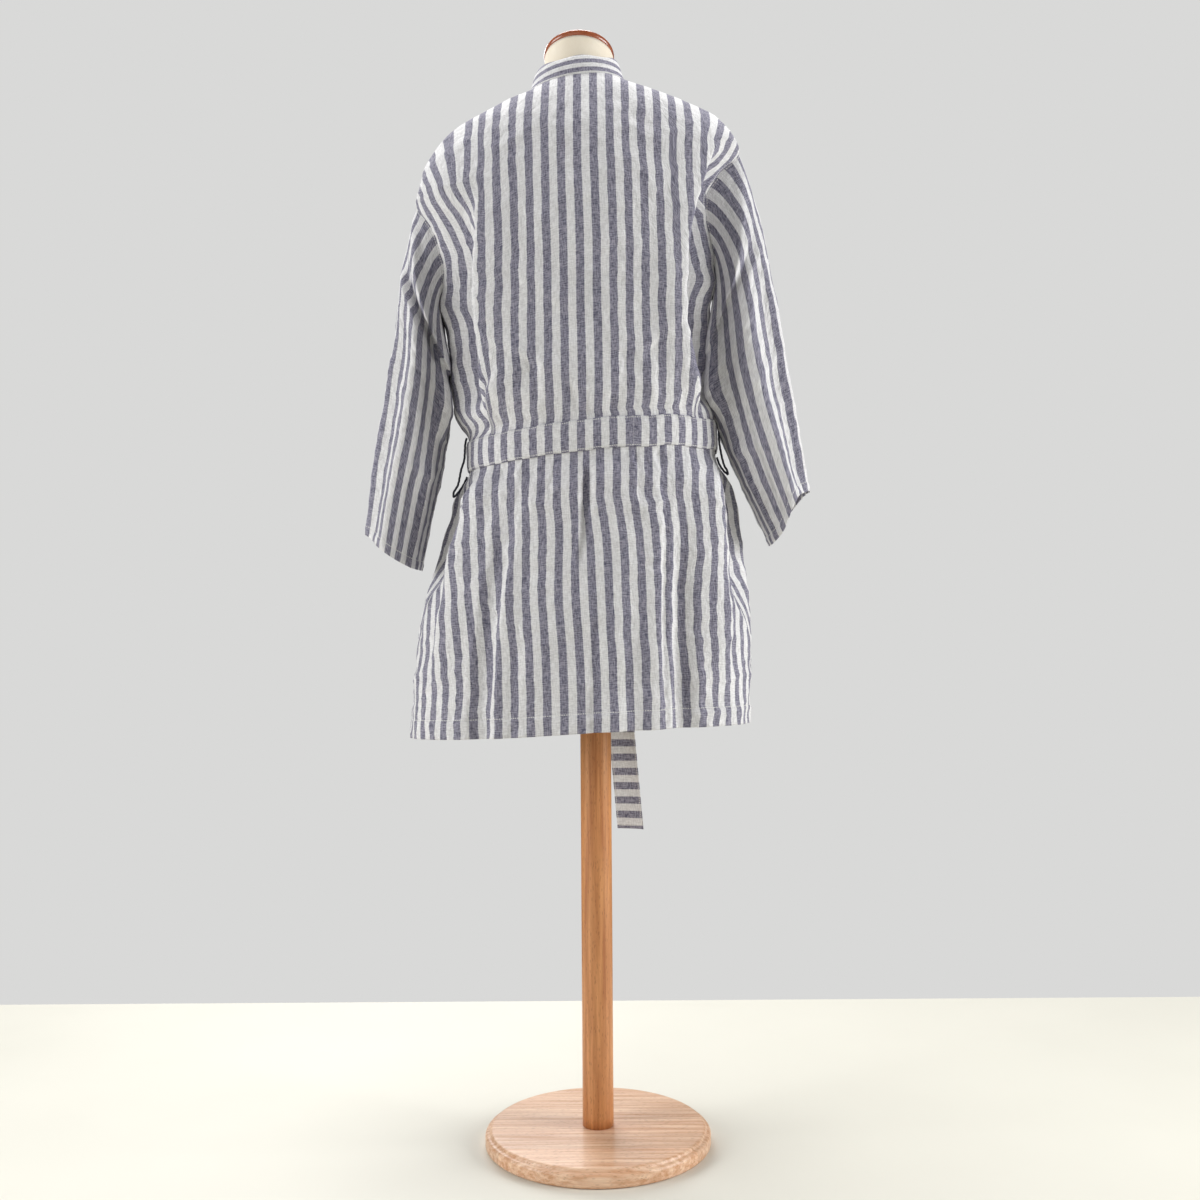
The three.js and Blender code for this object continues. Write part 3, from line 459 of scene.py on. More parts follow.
def lattice(turns, rise, count, seed):
    """Smooth noise from -1 to 1: random heights at the corners of a lattice, blended by smooth steps. It
    closes on itself once round (turns from 0 to 1), and rise counts its cells upward."""
    tall = 61
    heights = np.random.default_rng(seed).uniform(-1, 1, (count, tall))
    p, q = (turns % 1.0) * count, rise
    i, j = np.floor(p).astype(int), np.floor(q).astype(int)
    s, t = ease(p - i), ease(q - j)
    at = lambda a, b: heights[a % count, b % tall]
    return lerp(lerp(at(i, j), at(i + 1, j), s), lerp(at(i, j + 1), at(i + 1, j + 1), s), t)


def creased(turns, rise, count, seed):
    """Sharp creases from smooth noise: one less its size, cubed, so that they lie where it crosses nought."""
    return (1 - np.abs(lattice(turns, rise, count, seed))) ** 4


GIRTH_AT = np.linspace(0, 360, 361)
GIRTH_STEP = section(GIRTH_AT, BODY(1200))
GIRTH_XY = GIRTH_STEP[:, None] * np.stack([np.cos(np.radians(GIRTH_AT)), np.sin(np.radians(GIRTH_AT))], -1)
GIRTH = np.r_[0, np.cumsum(np.linalg.norm(np.diff(GIRTH_XY, axis=0), axis=1))]

# The linen's crumple: size, lean, height of a cell, cells round, seed, for the soft and the sharp kind.
CRUMPLE = {
    "body": {"lean": GIRTH[-1], "soft": [(1.9, 0, 120, 12, 3), (1.3, 0, 55, 24, 4), (0.6, -0.4, 17, 74, 8)],
             "sharp": [(1.7, 0.7, 46, 30, 5), (1.6, -0.8, 40, 34, 6), (1.2, 0.25, 26, 52, 7)]},
    "sleeve": {"lean": 400, "soft": [(1.6, 0, 110, 5, 0), (1.0, 0, 52, 9, 1)],
               "sharp": [(1.4, 0.6, 44, 11, 2), (1.3, -0.7, 38, 12, 3), (0.8, 0.2, 25, 18, 4)]},
}


def crumple(kind, round_it, up, seed=0):
    """The linen's own crumple: a broad unevenness from smooth noise, and creases that lean both ways."""
    table = CRUMPLE[kind]
    total = 0.0
    for noise, rows in ((lattice, table["soft"]), (creased, table["sharp"])):
        for size, lean, cell, count, own in rows:
            total = total + size * noise(round_it + lean * up / table["lean"], up / cell, count, seed + own)
    return total


def shell_radius(degrees, z, rough=1.0):
    """Distance of the cloth from its axis: the section, drawn in to the waist's under the sash, with the
    folds where it is free. rough is the share of the small crumple."""
    away = off_sash(degrees, z)
    free = ease(away / WAIST["blend"])
    radius = lerp(section(degrees, WAIST), section(degrees, BODY(z)), free)
    radius = radius + (folds(degrees, z) + drags(degrees, z)) * free + gathers(degrees, z)
    if rough:
        round_it = np.interp(degrees % 360, GIRTH_AT, GIRTH) / GIRTH[-1]
        radius = radius + rough * crumple("body", round_it, z) * ease(away / 20) * ease((1500 - z) / 60)
    return radius


def shell(degrees, z, out=0.0, rough=1.0):
    """Points of the cloth at angles and heights, moved out from it by a true distance: along the radius by
    that distance times the length of (1, slope round, slope up)."""
    degrees, z = np.broadcast_arrays(np.asarray(degrees, float), np.asarray(z, float))
    radius = shell_radius(degrees, z, rough)
    turn, rise = 2.0, 4.0
    round_it = (shell_radius(degrees + turn, z, 0) - shell_radius(degrees - turn, z, 0)) / (
        2 * np.radians(turn) * radius)
    up = (shell_radius(degrees, z + rise, 0) - shell_radius(degrees, z - rise, 0)) / (2 * rise)
    radius = radius + out * np.minimum(STEEPEST, np.sqrt(1 + round_it ** 2 + up ** 2))
    a = np.radians(degrees)
    return np.stack([BODY(z)["axis"] + radius * np.cos(a), radius * np.sin(a), z], -1)


# ---- the robe's level lines and edges ----

def spaced(count, kind):
    """Shares from 0 up to 1, without the 1: even, closer at both ends of an armhole, or at the neck."""
    t = np.arange(count) / max(count, 1)
    return {"even": t, "armhole": (1 - np.cos(np.pi * t)) / 2, "shoulder": 1 - (1 - t) ** 1.5}[kind]


def level_rows(levels):
    """The level lines as columns of heights at the left, at the right, rise at the back, and how far open
    the armhole is, which follows half a sine from its foot to its top."""
    parts = []
    for low, high in zip(levels, levels[1:]):
        t = spaced(low[3], low[4])[:, None]
        opening = np.sin(np.pi * np.arange(low[3]) / low[3]) if low[4] == "armhole" else np.zeros(low[3])
        parts.append(np.hstack([lerp(np.array([low[:3]]), np.array([high[:3]]), t), opening[:, None]]))
    parts.append(np.array([[*levels[-1][:3], 0]]))
    left, right, rise, opening = np.vstack(parts).T
    return {"left": left, "right": right, "rise": rise, "opening": opening}


ROWS = level_rows(LEVELS)
FRONT_ROWS = {name: values[:-1] for name, values in ROWS.items()}
TOP_ROW = len(ROWS["left"]) - 1 - LEVELS[-2][3]          # the row at the armholes' tops


def level_height(rows, degrees):
    """Height of the level lines at angles, one row of angles for each line."""
    a = np.radians(degrees)
    left, right, rise = (rows[name][:, None] for name in ("left", "right", "rise"))
    return (left + right) / 2 + (left - right) / 2 * np.cos(a) + rise * np.sin(a)


def side_angle(height, opening, side, piece="back"):
    """Angle from the side to a piece's edge there: half a seam, the open half of the armhole, and the turn
    of the side seam to the back."""
    turn = SEAM_TURN(height)[side] * (1 if piece == "back" else -1)
    return turn + np.degrees((SEAM / 2 + opening * ARMHOLE[side]["depth"]) / BODY(height)[side])


def towards_front(side, degrees):
    """The angle round the body of what lies so many degrees from a side towards the front."""
    return 360 - degrees if side == "left" else 180 + degrees


def lift(side, degrees, z):
    """How far out the left front lies, over the right front and its band."""
    if side == "right":
        return 0.0 * degrees
    return (DOUBLED + LAYER) * ease((360 - degrees - 38) / 22) * ease((1330 - z) / 90)


def edge_level(z, side):
    """The front edge's own height scale: the neck's two sides lie at different heights."""
    return z - (NECK[side] - NECK["left"]) * ease((z - 1380) / 130)


def edge_on(rows, side):
    """Where each level line meets the front's cut edge, found by putting its height back in six times."""
    z = rows[side]
    for _ in range(6):
        seam = EDGE(edge_level(z, side))["seam"]
        z = level_height(rows, towards_front(side, seam)[:, None])[:, 0]
    level = edge_level(z, side)
    at = EDGE(level)
    radius = section(towards_front(side, at["seam"]), BODY(z))
    slope = radius * np.radians(EDGE(level - 1)["seam"] - EDGE(level + 1)["seam"]) / 2
    return {"z": z, "gap": np.degrees(SEAM * np.hypot(1, slope) / radius), **at}


def run(points, axis):
    """Distance run along a grid's rows (1) or columns (0), from its first line."""
    steps = np.linalg.norm(np.diff(points, axis=axis), axis=-1)
    start = np.zeros_like(steps[:1] if axis == 0 else steps[:, :1])
    return np.concatenate([start, np.cumsum(steps, axis=axis)], axis=axis)


def level_run(points):
    """The level distance run along each row of a grid, as seen from above."""
    return run(points * np.array([1.0, 1.0, 0.0]), 1)


def across_middle(points, middle):
    """The level distance run along each row, counted from where the middle stripe crosses it."""
    way = level_run(points)
    rows, columns = np.arange(len(points)), points.shape[1]
    far_off = np.abs(np.arange(columns) / columns - 0.5) > 0.4
    near = np.argmin(np.abs(points[:, :, 0] - middle[:, None]) + 1e3 * far_off, axis=1)
    return way[rows, near][:, None] - way + (points[rows, near, 0] - middle)[:, None]


def straight_stripes(points, degrees, middle, opening):
    """How far across the flat back each point lies from the middle stripe: the distance run along its level
    row. Above the sash the cloth keeps its straight side seam and armhole, and what is over or short of
    that lies hidden in the fold beside each arm."""
    above_sash = ease((points[:, :1, 2] - PLEAT_FOOT["bottom"]) / PLEAT_FOOT["over"])
    across = across_middle(points, middle)
    pleat = PLEATS(points[..., 2])
    for side, edge, sign in (("left", 0, 1), ("right", -1, -1)):
        cut = SIDE_CLOTH[side] - ARMHOLE[side]["depth"] * opening
        from_side = degrees if side == "left" else 180 - degrees
        wide = pleat["wide"] * PLEAT_SPREAD[side]
        hidden = ease((pleat[side] - from_side) / wide) * above_sash
        across = across + (sign * cut - across[:, edge])[:, None] * hidden
    return over_shoulders(points, straight_below_sash(points, across))


def straight_below_sash(points, across):
    """Lets the stripes run straight down out of the sash: they take their places from a row below it."""
    middle = points[:, points.shape[1] // 2, 2]
    held, sash = np.searchsorted(middle, SKIRT["held"]), np.searchsorted(middle, SKIRT["sash"])
    x = np.minimum.accumulate(points[held, :, 0])
    order = np.argsort(x, kind="stable")
    for row in range(held, sash):
        share = ease((middle[row] - SKIRT["held"]) / SKIRT["over"])
        across[row] = lerp(across[row], np.interp(points[row, :, 0], x[order], across[held, order]), share)
    return across


def over_shoulders(points, across):
    """Carries the stripes from the armholes' row up over the shoulders: straight up in the middle, and
    leaning out towards the arms by a share of the height that grows outwards."""
    top = TOP_ROW
    x = points[top, :, 0]
    x = np.minimum.accumulate(x) if x[0] > x[-1] else np.maximum.accumulate(x)
    order = np.argsort(x, kind="stable")
    out = x - SHOULDER_LEAN["middle"]
    lean = SHOULDER_LEAN["most"] * ease((np.abs(out) - SHOULDER_LEAN["from"]) / SHOULDER_LEAN["over"])
    for row in range(top + 1, len(points)):
        line = x + np.sign(out) * lean * np.maximum(points[row, :, 2] - points[top, :, 2], 0)
        across[row] = np.interp(points[row, :, 0], line[order], across[top, order])
    return across


def hem_fold(height, along, depth):
    """Extra thickness of a turned hem, and its pucker: short slanting waves along it, held by the stitch
    line and free at the edge."""
    wave = np.sin(2 * np.pi * (along / 15 + 0.25 * np.sin(along / 37) + height / 60))
    step = ease((depth + 1.0 - height) / 2.0)
    pucker = 0.5 * wave * hump((height - 0.45 * depth) / (0.62 * depth))
    tight = 0.6 + 0.4 * np.sin(2 * np.pi * along / 9 + np.sin(along / 23))
    return 0.9 * step + pucker - 0.45 * hump((height - depth) / 4.5) * tight


def hemmed_panel(name, degrees, z, out, height, across, opening, seams):
    """A panel of cloth with its hem turned up: the shell moved out by the hem's fold, and a wall under it.
    Its stitches run along the hem, and along the armhole at one seam or at both."""
    outer = shell(degrees, z, out)
    outward = facing(outer)
    outer = outer + normals(outer) * outward * hem_fold(height, across, HEM)[..., None]
    from_seam = run(outer, 1)
    if seams == 2:
        from_seam = np.minimum(from_seam, from_seam[:, -1:] - from_seam)
    beside = np.where(opening[:, None] > 0.05, from_seam - SEAM_STITCH, NO_STITCH)
    at_hem = height < HEM_ZONE
    line = np.stack([np.where(at_hem, across, height), np.where(at_hem, height - HEM, beside)], -1)
    inner = outer - normals(outer) * outward * CLOTH
    return cloth_wall(name, outer, inner, np.stack([across, height], -1), line)


def back_panel():
    """The back: the shell between the two side seams and armholes, from the hem to the neck. Its columns
    are spaced half evenly by angle and half as on a flattened circle."""
    opening, flattened = ROWS["opening"], 0.52
    left, right = (side_angle(ROWS[side], opening, side)[:, None] for side in ("left", "right"))
    even = np.linspace(0, 180, BACK_COLUMNS + 1)
    a = np.radians(even)
    spread = 0.5 * even + 0.5 * np.degrees(np.arctan2(flattened * np.sin(a), np.cos(a)))
    degrees = left + (180 - left - right) * spread[None, :] / 180
    z = level_height(ROWS, degrees)
    smooth_points = shell(degrees, z, CLOTH, 0)
    middle = MIDDLE_STRIPE(z[:, BACK_COLUMNS // 2])["x"]
    across = straight_stripes(smooth_points, degrees, middle, opening)
    return hemmed_panel("robe_back", degrees, z, CLOTH, run(smooth_points, 0), across, opening, 2)


def facing(outer):
    """Whether a grid's normals point away from its own middle (1) or towards it (-1)."""
    n = normals(outer)
    return np.sign(np.mean(np.sum(n[..., :2] * (outer - outer.mean(axis=(0, 1)))[..., :2], -1)))


def gathered_by_sash(way, degrees, z):
    """A front's cloth as the sash gathers it: below the sash, the width that each row has run from the side
    seam is stretched in even shares to the widest row's width, so the stripes fall nearly straight."""
    below = ease(0.5 + (sash_height(degrees) - z) / GATHERED_OVER)
    widest = way[z[:, 0] < SKIRT["sash"], -1].max()
    return way * lerp(1.0, widest / way[:, -1:], below)


def front_panel(side):
    """A front: the shell from the side seam and armhole to the slanting edge that the neckband covers."""
    edge, opening = edge_on(FRONT_ROWS, side), FRONT_ROWS["opening"]
    start = side_angle(FRONT_ROWS[side], opening, side, "front")[:, None]
    end = (edge["seam"] - edge["gap"])[:, None]
    degrees = towards_front(side, lerp(start, end, np.linspace(0, 1, FRONT_COLUMNS + 1)[None, :]))
    z = level_height(FRONT_ROWS, degrees)
    out = CLOTH + lift(side, degrees, z)
    smooth_points = shell(degrees, z, out, 0)
    way = gathered_by_sash(level_run(smooth_points), degrees, z)
    cut = SIDE_CLOTH[side] - ARMHOLE[side]["depth"] * opening[:, None]
    across = over_shoulders(smooth_points, (1 if side == "left" else -1) * (cut - way))
    return hemmed_panel("robe_front_" + side, degrees, z, out, run(smooth_points, 0), across, opening, 1)


def neckband():
    """The neckband: one double strip, swept along the right front's edge, round the neck at the back and
    down the left front's edge, crowned across and wavy along its free edge."""
    parts = []
    for side, way in (("right", 1), ("left", -1)):
        edge = edge_on(FRONT_ROWS, side)
        turn = edge["band"] * way
        part = np.stack([towards_front(side, edge["seam"]), turn, edge["rise"], 0 * turn, FRONT_ROWS["left"],
                         FRONT_ROWS["right"], FRONT_ROWS["rise"], 0 * turn + (way < 0)], -1)
        parts.append(part[::way])
    nape = np.linspace(180, 0, NAPE_STATIONS)
    top = [0, NECK["stand"], SEAM, ROWS["left"][-1], ROWS["right"][-1], ROWS["rise"][-1], 0]
    parts.insert(1, np.stack([nape, *(value + 0 * nape for value in top)], -1))
    degrees, turn, rise, start, left, right, lifted, on_left = np.vstack(parts).T[:, :, None]
    degrees[degrees[:, 0] > 359.99] = 360.0
    across = np.linspace(0, 1, BAND_COLUMNS)[None, :]
    angle = degrees + turn * across
    a = np.radians(angle)
    station = np.arange(len(angle))[:, None]
    at_nape = ease((COLLAR["reach"] - np.abs(station - len(angle) / 2)) / COLLAR["fade"])
    wave = COLLAR["wave"] * np.sin(station / 5.3) * np.sin(station / 13 + 1) * at_nape
    z = (left + right) / 2 + (left - right) / 2 * np.cos(a) + lifted * np.sin(a) + start + rise * across
    z = z + (wave + COLLAR["rise"] * at_nape) * across ** 2
    crown = 0.9 * (1 - (2 * across - 1) ** 4) - 0.9
    out = DOUBLED + np.where(on_left > 0.5, lift("left", angle % 360.0001, z), 0) + crown
    outer = shell(angle, z, out, 0.6)
    inner = shell(angle, z, out - crown - DOUBLED, 0.6)
    width = run(outer, 1)
    along = run(outer, 0)[:, BAND_COLUMNS // 2][:, None] + 0 * width
    closer, white = lerp(1.0, COLLAR["closer"], at_nape), lerp(*COLLAR["white"], at_nape)
    cloth = np.stack([(width - white) * closer, along], -1)
    return cloth_wall("robe_neckband", outer, inner, cloth, np.stack([along, width - BAND_STITCH], -1))


def armhole_point(side, turn):
    """Where a sleeve's first ring lies: on the edges of the back and the front at the armhole, evenly by
    turn, from its top (0) over the back to its foot (180) and up the front."""
    share = np.where(turn <= 180, turn, 360 - turn) / 180
    t = (1 - np.cos(np.pi * (1 - share))) / 2
    foot, top = LEVELS[-3], LEVELS[-2]
    rows = {name: np.ravel(lerp(foot[k], top[k], t)) for k, name in enumerate(("left", "right", "rise"))}
    angle = side_angle(rows[side], np.sin(np.pi * (1 - share)), side)
    back = turn <= 180
    if side == "left":
        degrees = np.where(back, angle, 360 - angle)
    else:
        degrees = np.where(back, 180 - angle, 180 + angle)
    return shell(degrees, level_height(rows, degrees[:, None])[:, 0], CLOTH + 0.1)


def sleeve_folds(side, turn, along):
    """How far a sleeve's surface stands out: humps along lines down it, humps across lines from its head to
    the underarm, and the linen's crumple, which starts clear of the armhole's seam."""
    fold = np.zeros(np.broadcast(turn, along).shape)
    for t0, t1, lower, higher, out, start, end in SLEEVE_FOLDS:
        away = turned(turn, lerp(t0, t1, along))
        there = ease((along - start) / 0.2) * ease((end - along) / 0.2)
        fold += out * there * hump(away / np.where(away < 0, lower, higher))
    for t0, a0, t1, a1, left, right, above, below in SLEEVE_DRAGS:
        out = left if side == "left" else right
        share = turned(turn, t0) / turned(t1, t0)
        away = along - lerp(a0, a1, share)
        ends = np.where((share > 0) & (share < 1), np.sin(np.pi * np.clip(share, 0, 1)) ** 0.7, 0)
        fold += out * ends * hump(away / np.where(away < 0, above, below))
    seed = 20 if side == "left" else 30
    return fold + ease(along / 0.06) * crumple("sleeve", turn / 360, along * SLEEVE_LENGTH, seed)


def sleeve(side):
    """A sleeve: rings from the armhole's edge to the cuff, each an oval between the sleeve's outer and
    inner line, moved out by its folds, with the cuff's edge bowed along the sleeve."""
    turn = np.linspace(0, 360, SLEEVE_COLUMNS + 1)[None, :]
    along = np.r_[np.linspace(0, 0.975, SLEEVE_ROWS), 0.985, 0.992, 1.0][:, None]
    line = SLEEVES[side](along[:, 0])
    outer_line, inner_line = (np.stack([line[at + "_x"], 0 * line["depth"], line[at + "_z"]], -1)[:, None]
                              for at in ("outer", "inner"))
    middle, half = (outer_line + inner_line) / 2, (outer_line - inner_line) / 2
    reach = np.linalg.norm(half, axis=-1, keepdims=True)
    depth = line["depth"][:, None, None]
    c, s = np.cos(np.radians(turn))[..., None], np.sin(np.radians(turn))[..., None]
    y = np.array([0.0, 1.0, 0.0])
    normal = half / reach * c * depth + y * s * reach
    normal = normal / np.linalg.norm(normal, axis=-1, keepdims=True)
    free = middle + half * c + y * s * depth + normal * sleeve_folds(side, turn, along)[..., None]
    bow_at, wide, down_by = CUFF_BOWS[side]
    bow = down_by * hump(turned(turn, bow_at) / wide) * ease((along - CUFF_BOW_FROM) / (1 - CUFF_BOW_FROM))
    axis = np.gradient(middle, axis=0)
    free = free + axis / np.linalg.norm(axis, axis=-1, keepdims=True) * bow[..., None]
    outer = lerp(armhole_point(side, turn[0])[None], free, ease(along / SLEEVE_FREE)[..., None])
    around = turn / 360 * SLEEVE_STRIPES * STRIPE + (6.0 if side == "left" else 0.0) + 0 * along
    height = run(outer, 0)
    hem = height[-1:] - height
    n = ring_normals(outer)
    sign = np.sign(np.mean(np.sum(n * (free - middle), -1)))
    outer = outer + sign * n * hem_fold(hem, around, CUFF_HEM)[..., None]
    inner = outer - sign * ring_normals(outer) * CLOTH
    stitch = np.where(hem < CUFF_ZONE, hem - CUFF_HEM, height - SEAM_STITCH)
    cloth, line = (np.stack([around, way], -1) for way in (height, stitch))
    return cloth_wall("robe_sleeve_" + side, outer, inner, cloth, line, True)


# ---- the sash ----

def under_sash(degrees, z):
    """How far out the cloth reaches under the sash: one layer, or more where the fronts overlap."""
    from_left = (360 - degrees) % 360
    upper = lift("left", degrees, z) + CLOTH
    edge = EDGE(z)
    on_front = ease((from_left - 30) / 15) * ease((edge["seam"] + edge["band"] + 18 - from_left) / 10)
    return CLOTH + np.maximum(0, upper + DOUBLED - CLOTH) * on_front


def sash_wrap():
    """The sash round the waist: a crowned band on the cloth, its edges a little wavy, pinched towards the
    knot. Its stripes run across it, and where its two lengths are joined two blue stripes meet."""
    degrees = np.linspace(0, 360, SASH_COLUMNS + 1)
    join = np.degrees(np.arccos((SASH_JOIN_X - 4) / 118.0))
    nearest = np.argmin(np.abs(degrees - join))
    degrees[nearest], degrees[nearest + 1] = join - 0.04, join + 0.04
    k = np.linspace(-0.5, 0.5, SASH_ROWS + 1)[:, None]
    degrees = degrees[None, :]
    turns, from_knot = degrees / 360 + 0 * k, np.abs(turned(degrees, KNOT_TURN))
    edge = 1.1 * lattice(turns, 3 + 0 * k, 23, 41) + 0.5 * lattice(turns, 5 + 0 * k, 61, 42)
    pinch = 1 - 0.42 * hump(from_knot / 26)
    z = sash_height(degrees) + k * SASH["height"] * pinch + edge * (0.3 + 2 * np.abs(k))
    crown = 1.5 * (1 - (2 * k) ** 4) + 0.8 * lattice(turns, 4 * k + 9, 40, 43) * ease((0.5 - np.abs(k)) * 6)
    crease = hump((k - 0.12 * np.sin(np.radians(degrees) * 5)) / 0.12) * ease((35 - from_knot) / 20)
    base = under_sash(degrees, z) + SASH["gap"]
    outer = shell(degrees, z, base + DOUBLED - 1.0 + crown - 1.6 * crease, 0)
    inner = shell(degrees, z, base, 0)
    way = run(outer[SASH_ROWS // 2][None], 1)
    off = way - (way[0, nearest] + way[0, nearest + 1]) / 2
    across = np.where(off < 0, off + STRIPE / 4, off + STRIPE * 3 / 4) + 0 * k
    width = k * SASH["height"] + 0 * way
    line = np.stack([across, SASH["height"] / 2 - SASH_STITCH - np.abs(width)], -1)
    return cloth_wall("sash_band", outer, inner, np.stack([across, width], -1), line, True)


def sash_knot():
    """The knot: a lump whose section is creased by cosines, twisting from one tail to the other."""
    t = np.linspace(-1, 1, 65)[:, None]
    a = np.linspace(0, 2 * np.pi, 96, endpoint=False)[None, :]
    size = np.sqrt(np.clip(1 - np.abs(t) ** 2.6, 0.0, 1)) * (0.93 + 0.07 * np.cos(2.2 * np.pi * t))
    twist = a + 0.9 * t
    crease = 1 - 0.07 * (1 + np.cos(5 * twist)) - 0.035 * (1 + np.cos(11 * twist + 2 * t))
    half, thick = 20.5 * size, 10.6 * size
    x, y, along = half * crease * np.cos(a), thick * crease * np.sin(a), 24.0 * t + 0 * a
    tilt = np.radians(35)
    turned_x = x * np.cos(tilt) + along * np.sin(tilt)
    turned_z = -x * np.sin(tilt) + along * np.cos(tilt)
    under = under_sash(KNOT_TURN, SASH["front"]) + SASH["gap"] + DOUBLED - 0.3
    at = shell(KNOT_TURN, sash_height(KNOT_TURN), under, 0)
    rings = np.stack([turned_x + at[0], y + at[1] - 11, turned_z + at[2]], -1)
    grid = np.concatenate([rings, rings[:, :1]], axis=1)
    all_round = np.append(a, 2 * np.pi)[None, :]
    cloth = np.stack([24 * t + 6 * np.sin(all_round), 30 * all_round + 0 * t], -1)
    n = ring_normals(grid)
    sign = np.sign(np.mean(np.sum(n * (grid - grid.mean(axis=(0, 1))), -1)))
    inner = grid - sign * n * np.minimum(DOUBLED, 0.3 * half[..., None])
    return cloth_wall("sash_knot_folds", grid, inner, cloth, cloth + 60.0, True)


def sash_tail(name):
    """A tail of the sash: a double strip that hangs from the knot, bowed across, with a slow wave down it."""
    tail = TAILS[name]
    z = np.linspace(tail["bottom"], tail["top"], 130)[:, None]
    k = np.linspace(-1, 1, 17)[None, :]
    at = tail["line"](z[:, 0])
    x, half, out = (at[key][:, None] for key in ("x", "half", "out"))
    ring = BODY(z)
    degrees = 270 + np.degrees(np.arcsin((x + half * k - ring["axis"]) / ring["front"]) * 0.93)
    under = CLOTH + LAYER + 2 * DOUBLED + tail["gap"]
    drop = tail["top"] - z
    bow = 1.4 * (1 - k ** 2) * ease(drop / 60) + 2.0 * (1 + np.sin(drop / 47 + k)) * ease(drop / 120)
    crease = 1.5 * hump((k - 0.2 * np.sin(drop / 60)) / 0.3) * ease((140 - drop) / 120)
    point = shell(degrees, np.maximum(z, TAIL_FREE), under + out, 0)
    outer, inner = (np.stack([x + half * k, point[..., 1] - thick - bow + crease, z + 0 * k], -1)
                    for thick in (DOUBLED, 0))
    along = run(outer, 0)[:, 8:9] + 0 * k
    width = half * k
    line = np.stack([along, np.minimum(half - SASH_STITCH - np.abs(width), along - 5)], -1)
    return cloth_wall("sash_tail_" + name + "_cloth", outer, inner, np.stack([along, width], -1), line)


def belt_loop(side):
    """A belt loop: a flattened cord swept along a curve through its points, its section an oval."""
    degrees = 2.5 if side == "left" else 177.5
    knots = np.array(LOOPS[side], float)
    base = shell(degrees, sash_height(degrees) + knots[:, 0], 0.0, 0)
    path = base + knots[:, 1:] * np.array([1.0 if side == "left" else -1.0, 0, 0])
    way = np.r_[0, np.cumsum(np.linalg.norm(np.diff(path, axis=0), axis=1))]
    t = np.linspace(0, way[-1], 90)
    curve = np.stack([reader(["s", "v"], np.stack([way, path[:, k]], -1))(t)["v"] for k in range(3)], -1)
    tangent = np.gradient(curve, axis=0)
    tangent /= np.linalg.norm(tangent, axis=1, keepdims=True)
    y = np.array([0.0, 1.0, 0.0])
    normal = np.cross(y, tangent)
    a = np.linspace(0, 2 * np.pi, 20, endpoint=False)[None, :, None]
    plait = 1 + 0.12 * np.cos(3 * a + t[:, None, None] / 1.1)
    rings = (curve[:, None] + plait * (normal[:, None] * 1.5 * np.cos(a) + y * 2.6 * np.sin(a)))
    return lofted("belt_loop_cord_" + side, rings)


# ---- the dress form and its stand ----

def form_body():
    """The form: level rounded sections about a leaning axis, sloping at the shoulders, drawn in to stay
    inside the cloth, up to the neck's slanting top."""
    z = np.r_[830, 832, 836, 842, np.linspace(850, 1440, 74), np.linspace(1446, 1557, 30)][:, None]
    degrees = np.linspace(0, 360, 128, endpoint=False)[None, :]
    ring = FORM_RINGS(z)
    radius = section(degrees, {"left": ring["half"], "right": ring["half"], **ring})
    radius = radius - np.where(z < 850, 6 * (1 - np.sqrt(np.clip(1 - ((850 - z) / 20.5) ** 2, 0, 1))), 0)
    a = np.radians(degrees)
    x = FORM["lean"] * (z - FORM["bottom"]) + radius * np.cos(a)
    y = radius * np.sin(a)
    sloping = ease((FORM["neck"] - z) / 60) * ease((z - 1100) / 200)
    level = z - FORM["slope"] * sloping * radius * np.cos(a)
    level = level + FORM["tip"] * y * ease((level - FORM["neck"]) / (FORM["top"] - FORM["neck"]))
    axis = BODY(level)["axis"]
    round_it = np.degrees(np.arctan2(y, x - axis))
    limit = shell(round_it, level, -FORM["clear"], 0)
    keep = np.hypot(limit[..., 0] - axis, limit[..., 1]) / np.hypot(x - axis, y)
    keep = np.where(z < FORM["neck"], np.minimum(1, keep), 1)
    rings = np.stack([axis + (x - axis) * keep, y * keep, level], -1)
    return lofted("form_jersey", rings)


def lathe(name, outline, middle=(0.0, 0.0, 0.0), tip=0.0, around=128):
    """A turned piece: its outline of radii and heights, rounded by many points, carried round the axis,
    with its heights tipped towards the back by a share of y."""
    outline = np.array(outline, float)
    a = np.linspace(0, 2 * np.pi, around, endpoint=False)[None, :]
    r, z = outline[:, :1], outline[:, 1:]
    x, y = r * np.cos(a), r * np.sin(a)
    rings = np.stack([middle[0] + x, middle[1] + y, middle[2] + z + tip * y], -1)
    return lofted(name, rings)


def rounded(corners, radius=1.5, steps=6):
    """An outline with its inner corners cut by arcs: near each corner, a curve that blends the two ways."""
    corners = np.array(corners, float)
    points = [corners[:1]]
    for before, at, after in zip(corners, corners[1:], corners[2:]):
        a, b = before - at, after - at
        la, lb = np.linalg.norm(a), np.linalg.norm(b)
        a, b = a / la * min(radius, la / 2.1), b / lb * min(radius, lb / 2.1)
        t = np.linspace(0, 1, steps)[:, None]
        points.append(at + a * (1 - t) ** 2 + b * t ** 2)
    points.append(corners[-1:])
    return np.vstack(points)


# ---- materials ----

MATH, RANGE, BUMP = "ShaderNodeMath", "ShaderNodeMapRange", "ShaderNodeBump"
NOISE, MAPPING = "ShaderNodeTexNoise", "ShaderNodeMapping"
COLOURS = {"kind": "ShaderNodeMix", "data_type": "RGBA"}      # mixes two colours: inputs 0, 6 and 7, output 2
SHADES = {**COLOURS, "blend_type": "MULTIPLY"}                # darkens a colour by a second one


